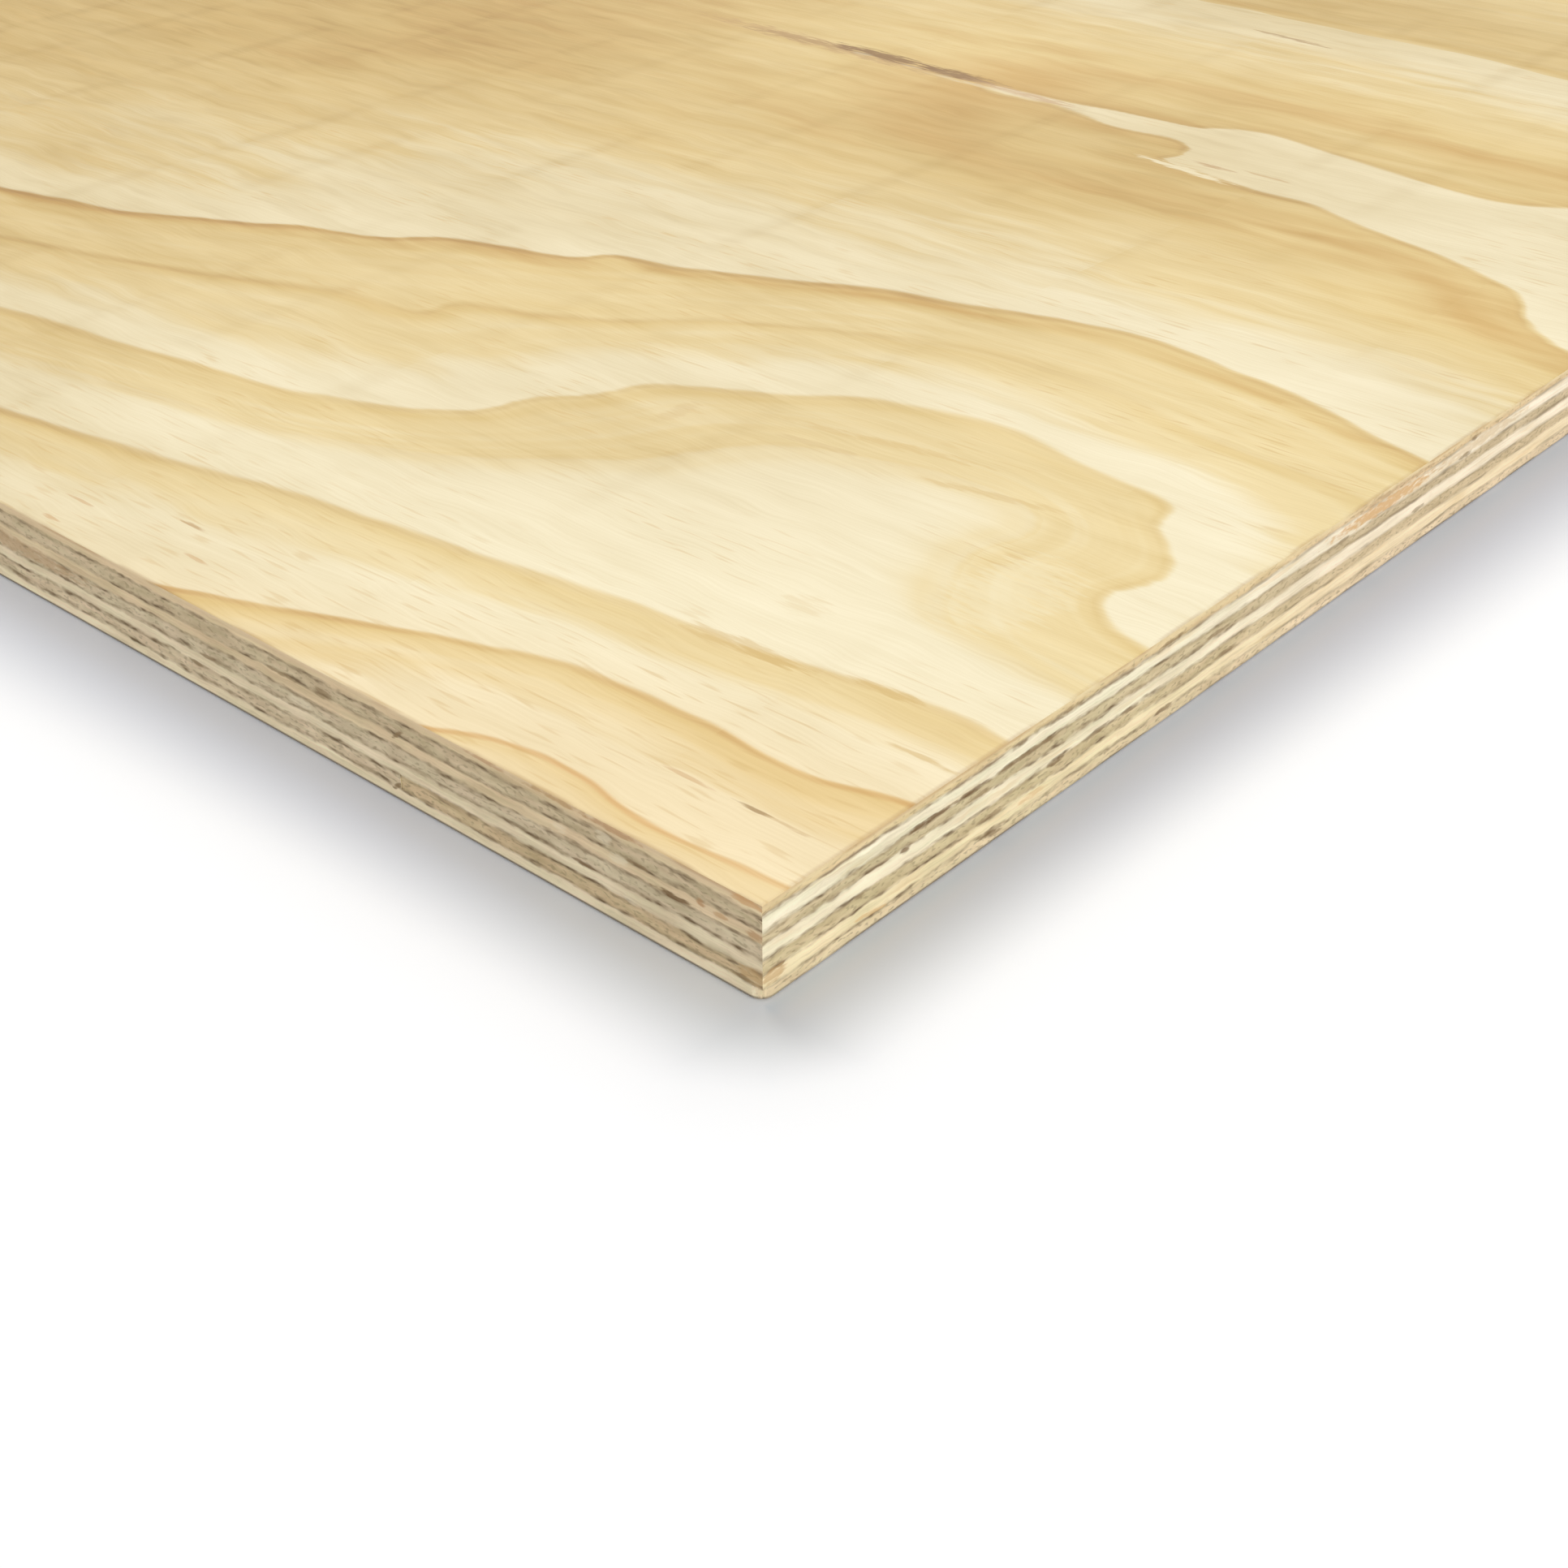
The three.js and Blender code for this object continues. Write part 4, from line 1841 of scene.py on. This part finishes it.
@dataclass
class PlywoodSheet:
    """The sheet: its dressed veneers, the sanded face and the splinters on its arrises."""

    sizes: SheetSizes
    warm_crossband: Colour = linear(222, 200, 164)
    foot_splinters_mm: float = 0.5
    foot_spacing_mm: float = 6.0
    foot_seed: int = 19

    def _finishes(self) -> dict[str, VeneerFinish]:
        """The finish of each veneer by its node, with a warmer one beside the joint.

        Returns:
            The finishes.
        """
        plain = SawnEdge()
        lowest, _, *others = plain.length_colours
        warm = replace(plain, length_colours=(lowest, self.warm_crossband, *others))
        finishes = {name: VeneerFinish(f"{name}_finish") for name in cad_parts}
        finishes["face_veneer"] = VeneerFinish("sanded_pine_face", Flat.FACE)
        finishes["back_veneer"] = VeneerFinish("pine_back", Flat.BACK)
        finishes["lower_crossband_2"] = VeneerFinish("lower_crossband_2_finish", edge=warm)
        return finishes

    def build(self) -> None:
        """Dresses the veneers and adds the pieces."""
        for name, finish in self._finishes().items():
            low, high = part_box(name)
            span_mm = (low[2] / MM, high[2] / MM)
            material = finish.material(self.sizes, span_mm)
            if name == "face_veneer":
                self._add_face(material, span_mm)
                continue
            node = bpy.data.objects[name]
            node.data.materials.clear()
            node.data.materials.append(material)
            LOG.info("%s: %s", name, finish.name)
        self._add_splinters()

    def _add_face(self, material: bpy.types.Material, span_mm: tuple[float, float]) -> None:
        """Puts the sanded face in the place of the plain one.

        Args:
            material: the finish of its flat side.
            span_mm: the levels between which it lies.
        """
        piece = SandedFace(self.sizes, span_mm[0]).build()
        piece.data.materials.append(material)
        piece.data.materials.append(VeneerFinish("face_veneer_edge").material(self.sizes, span_mm))
        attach(piece, "root")
        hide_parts("face_veneer")

    def _add_splinters(self) -> None:
        """Adds the splinters on the upper and the lower arris."""
        fibre = SplinterFinish(self.sizes).material()
        top_mm = self.sizes.thickness_mm - ArrisSplinters.inset_mm
        top = ArrisSplinters("top_arris_splinters", self.sizes, top_mm)
        bottom = ArrisSplinters(
            "bottom_arris_splinters", self.sizes, self.foot_splinters_mm,
            spacing_mm=self.foot_spacing_mm, seed=self.foot_seed,
        )
        for run, slot in ((top, "face_veneer"), (bottom, "back_veneer")):
            piece = run.build(fibre)
            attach(piece, "root")


# --- Studio --------------------------------------------------------------------------------------


@dataclass
class Studio:
    """A white floor under soft light, and the camera.

    The lamps cast the sheet's shadow, and the floor deepens it where the camera sees it, by the
    distance from the sheet's outline. Its shades run from the outline, by way of a foot, to clear.
    """

    sizes: SheetSizes
    floor_half_m: float = 30.0
    floor_drop_m: float = 0.0003
    floor_bounce: Colour = (0.8, 0.8, 0.8)
    edge_shade: tuple[Colour, ...] = ((0.76, 0.79, 0.87), (0.765, 0.785, 0.84), (1.03, 1.03, 1.03))
    end_shade: tuple[Colour, ...] = ((0.63, 0.69, 0.79), (0.68, 0.695, 0.75), (1.03, 1.03, 1.03))
    shade_reach_mm: float = 31.0
    shade_foot_mm: float = 6.0

    # The shade is narrower at the drawn corner, and rounds the corners: how much of the lesser
    # distance counts there, and between which slants the edge's shade turns into the end's
    narrowing: float = 1.25
    widening: float = 0.4
    widening_mm: tuple[float, float] = (0.0, 260.0)
    round_share: float = 0.6
    turn_soft_mm: float = 1.5
    turn: tuple[float, float] = (-0.1, 0.6)

    # The painted shadow's tint in the nook at the drawn corner, how far it reaches along and out
    nook_wash: Colour = (1.055, 1.05, 0.995)
    nook_mm: tuple[float, float] = (90.0, 0.0)
    nook_shares: tuple[float, float] = (0.9, 0.2)

    # The sky's light, and lamps with their directions and shares of a level surface's light
    sky: float = 0.48
    lamps: tuple[tuple[str, Spot, float], ...] = (
        ("lamp_behind", (-0.65, 0.65, 0.85), 0.33), ("lamp_right", (0.85, -0.28, 0.5), 0.19),
    )
    lamp_width: float = 60.0

    # The camera: its place from the drawn corner's foot, where it looks in degrees, and its lens
    # as a share of the picture's width
    camera_from_corner_mm: Spot = (177.4, -195.7, 213.2)
    camera_yaw: float = 131.5
    camera_down: float = 33.34
    focal_share: float = 2766.7 / 1932
    sensor_mm: float = 36.0
    nearest_m: float = 0.01

    def _shade(self, place: Place) -> Port:
        """The floor's colour where the camera sees it, with the painted shadow round the sheet.

        Args:
            place: where the point is.

        Returns:
            The colour.
        """
        graph = place.graph
        past_end = (place.x.size() - self.sizes.half_length_mm).most(0)
        past_edge = (place.y.size() - self.sizes.half_width_mm).most(0)
        from_corner = place.u.most(place.v)
        spread = self.narrowing - from_corner.step(*self.widening_mm) * self.widening
        away = past_end.most(past_edge) + past_end.least(past_edge) * self.round_share
        share = away * spread / self.shade_reach_mm
        stops = (0.0, self.shade_foot_mm / self.shade_reach_mm, 1.0)
        by_edge = graph.ramp(share, list(zip(stops, self.edge_shade)), "EASE")
        by_end = graph.ramp(share, list(zip(stops, self.end_shade)), "EASE")
        slant = (past_end - past_edge) / (past_end + past_edge + self.turn_soft_mm)
        shade = graph.blend(slant.step(*self.turn), by_edge, by_end)
        nook = from_corner.step(*self.nook_mm) * share.step(*self.nook_shares)
        return graph.shade(nook, shade, self.nook_wash)

    def _floor(self) -> None:
        """Lays the white floor, a hair below the sheet."""
        half, level = self.floor_half_m, -self.floor_drop_m
        corners = [(x * half, y * half, level) for x, y in ((-1, -1), (1, -1), (1, 1), (-1, 1))]
        mesh = bpy.data.meshes.new("floor")
        mesh.from_pydata(corners, [], [(0, 1, 2, 3)])
        material = bpy.data.materials.new("white_floor")
        graph = Graph(material)
        seen = graph.node("ShaderNodeLightPath", {}, {}, "Is Camera Ray")
        colour = graph.blend(seen, self.floor_bounce, self._shade(Place.of(graph, self.sizes)))
        graph.finish(graph.node("ShaderNodeBsdfDiffuse", {}, {"Color": colour}))
        mesh.materials.append(material)
        stand("floor", mesh)

    def _world(self) -> None:
        """Makes an even sky, white where it is seen or mirrored."""
        world = bpy.data.worlds.new("studio")
        bpy.context.scene.world = world
        graph = Graph(world)
        camera, glossy, passing = (
            graph.node("ShaderNodeLightPath", {}, {}, f"Is {kind} Ray")
            for kind in ("Camera", "Glossy", "Transmission")
        )
        strength = graph.lerp(camera.most(glossy).most(passing), self.sky, 1.0)
        inputs = {"Color": WHITE, "Strength": strength}
        graph.finish(graph.node("ShaderNodeBackground", {}, inputs), "World")

    def _lamp(self, name: str, direction: Spot, share: float) -> None:
        """Adds a soft distant lamp.

        Args:
            name: its name.
            direction: the direction in which the lamp lies.
            share: how much of a level surface's light it gives.
        """
        toward = Vector(direction).normalized()
        lamp = bpy.data.lights.new(name, "SUN")
        lamp.angle = math.radians(self.lamp_width)
        lamp.energy = share * math.pi / toward.z
        stand(name, lamp).rotation_euler = toward.to_track_quat("Z", "Y").to_euler()

    def _camera(self) -> None:
        """Stands the camera off the corner at the end of the sheet."""
        camera = bpy.data.cameras.new("camera")
        camera.sensor_width = self.sensor_mm
        camera.lens = self.sensor_mm * self.focal_share
        camera.clip_start = self.nearest_m
        corner = Vector((self.sizes.half_length_mm, -self.sizes.half_width_mm, 0))
        yaw, down = math.radians(self.camera_yaw), math.radians(self.camera_down)
        level = math.cos(down)
        look = Vector((level * math.cos(yaw), level * math.sin(yaw), -math.sin(down)))
        made = stand("camera", camera)
        made.location = (corner + Vector(self.camera_from_corner_mm)) * MM
        made.rotation_euler = look.to_track_quat("-Z", "Y").to_euler()
        bpy.context.scene.camera = made

    def build(self) -> None:
        """Sets the studio up."""
        bpy.context.scene.view_settings.view_transform = "Standard"
        self._floor()
        self._world()
        for lamp in self.lamps:
            self._lamp(*lamp)
        self._camera()


def main() -> None:
    """Builds the sheet and its studio."""
    logging.basicConfig(level=logging.INFO, format="%(name)s %(message)s")
    sizes = SheetSizes.of_frame()
    LOG.info("glue lines at %s mm", sizes.glue_levels_mm)
    PlywoodSheet(sizes).build()
    Studio(sizes).build()


if __name__ == "__main__":
    main()
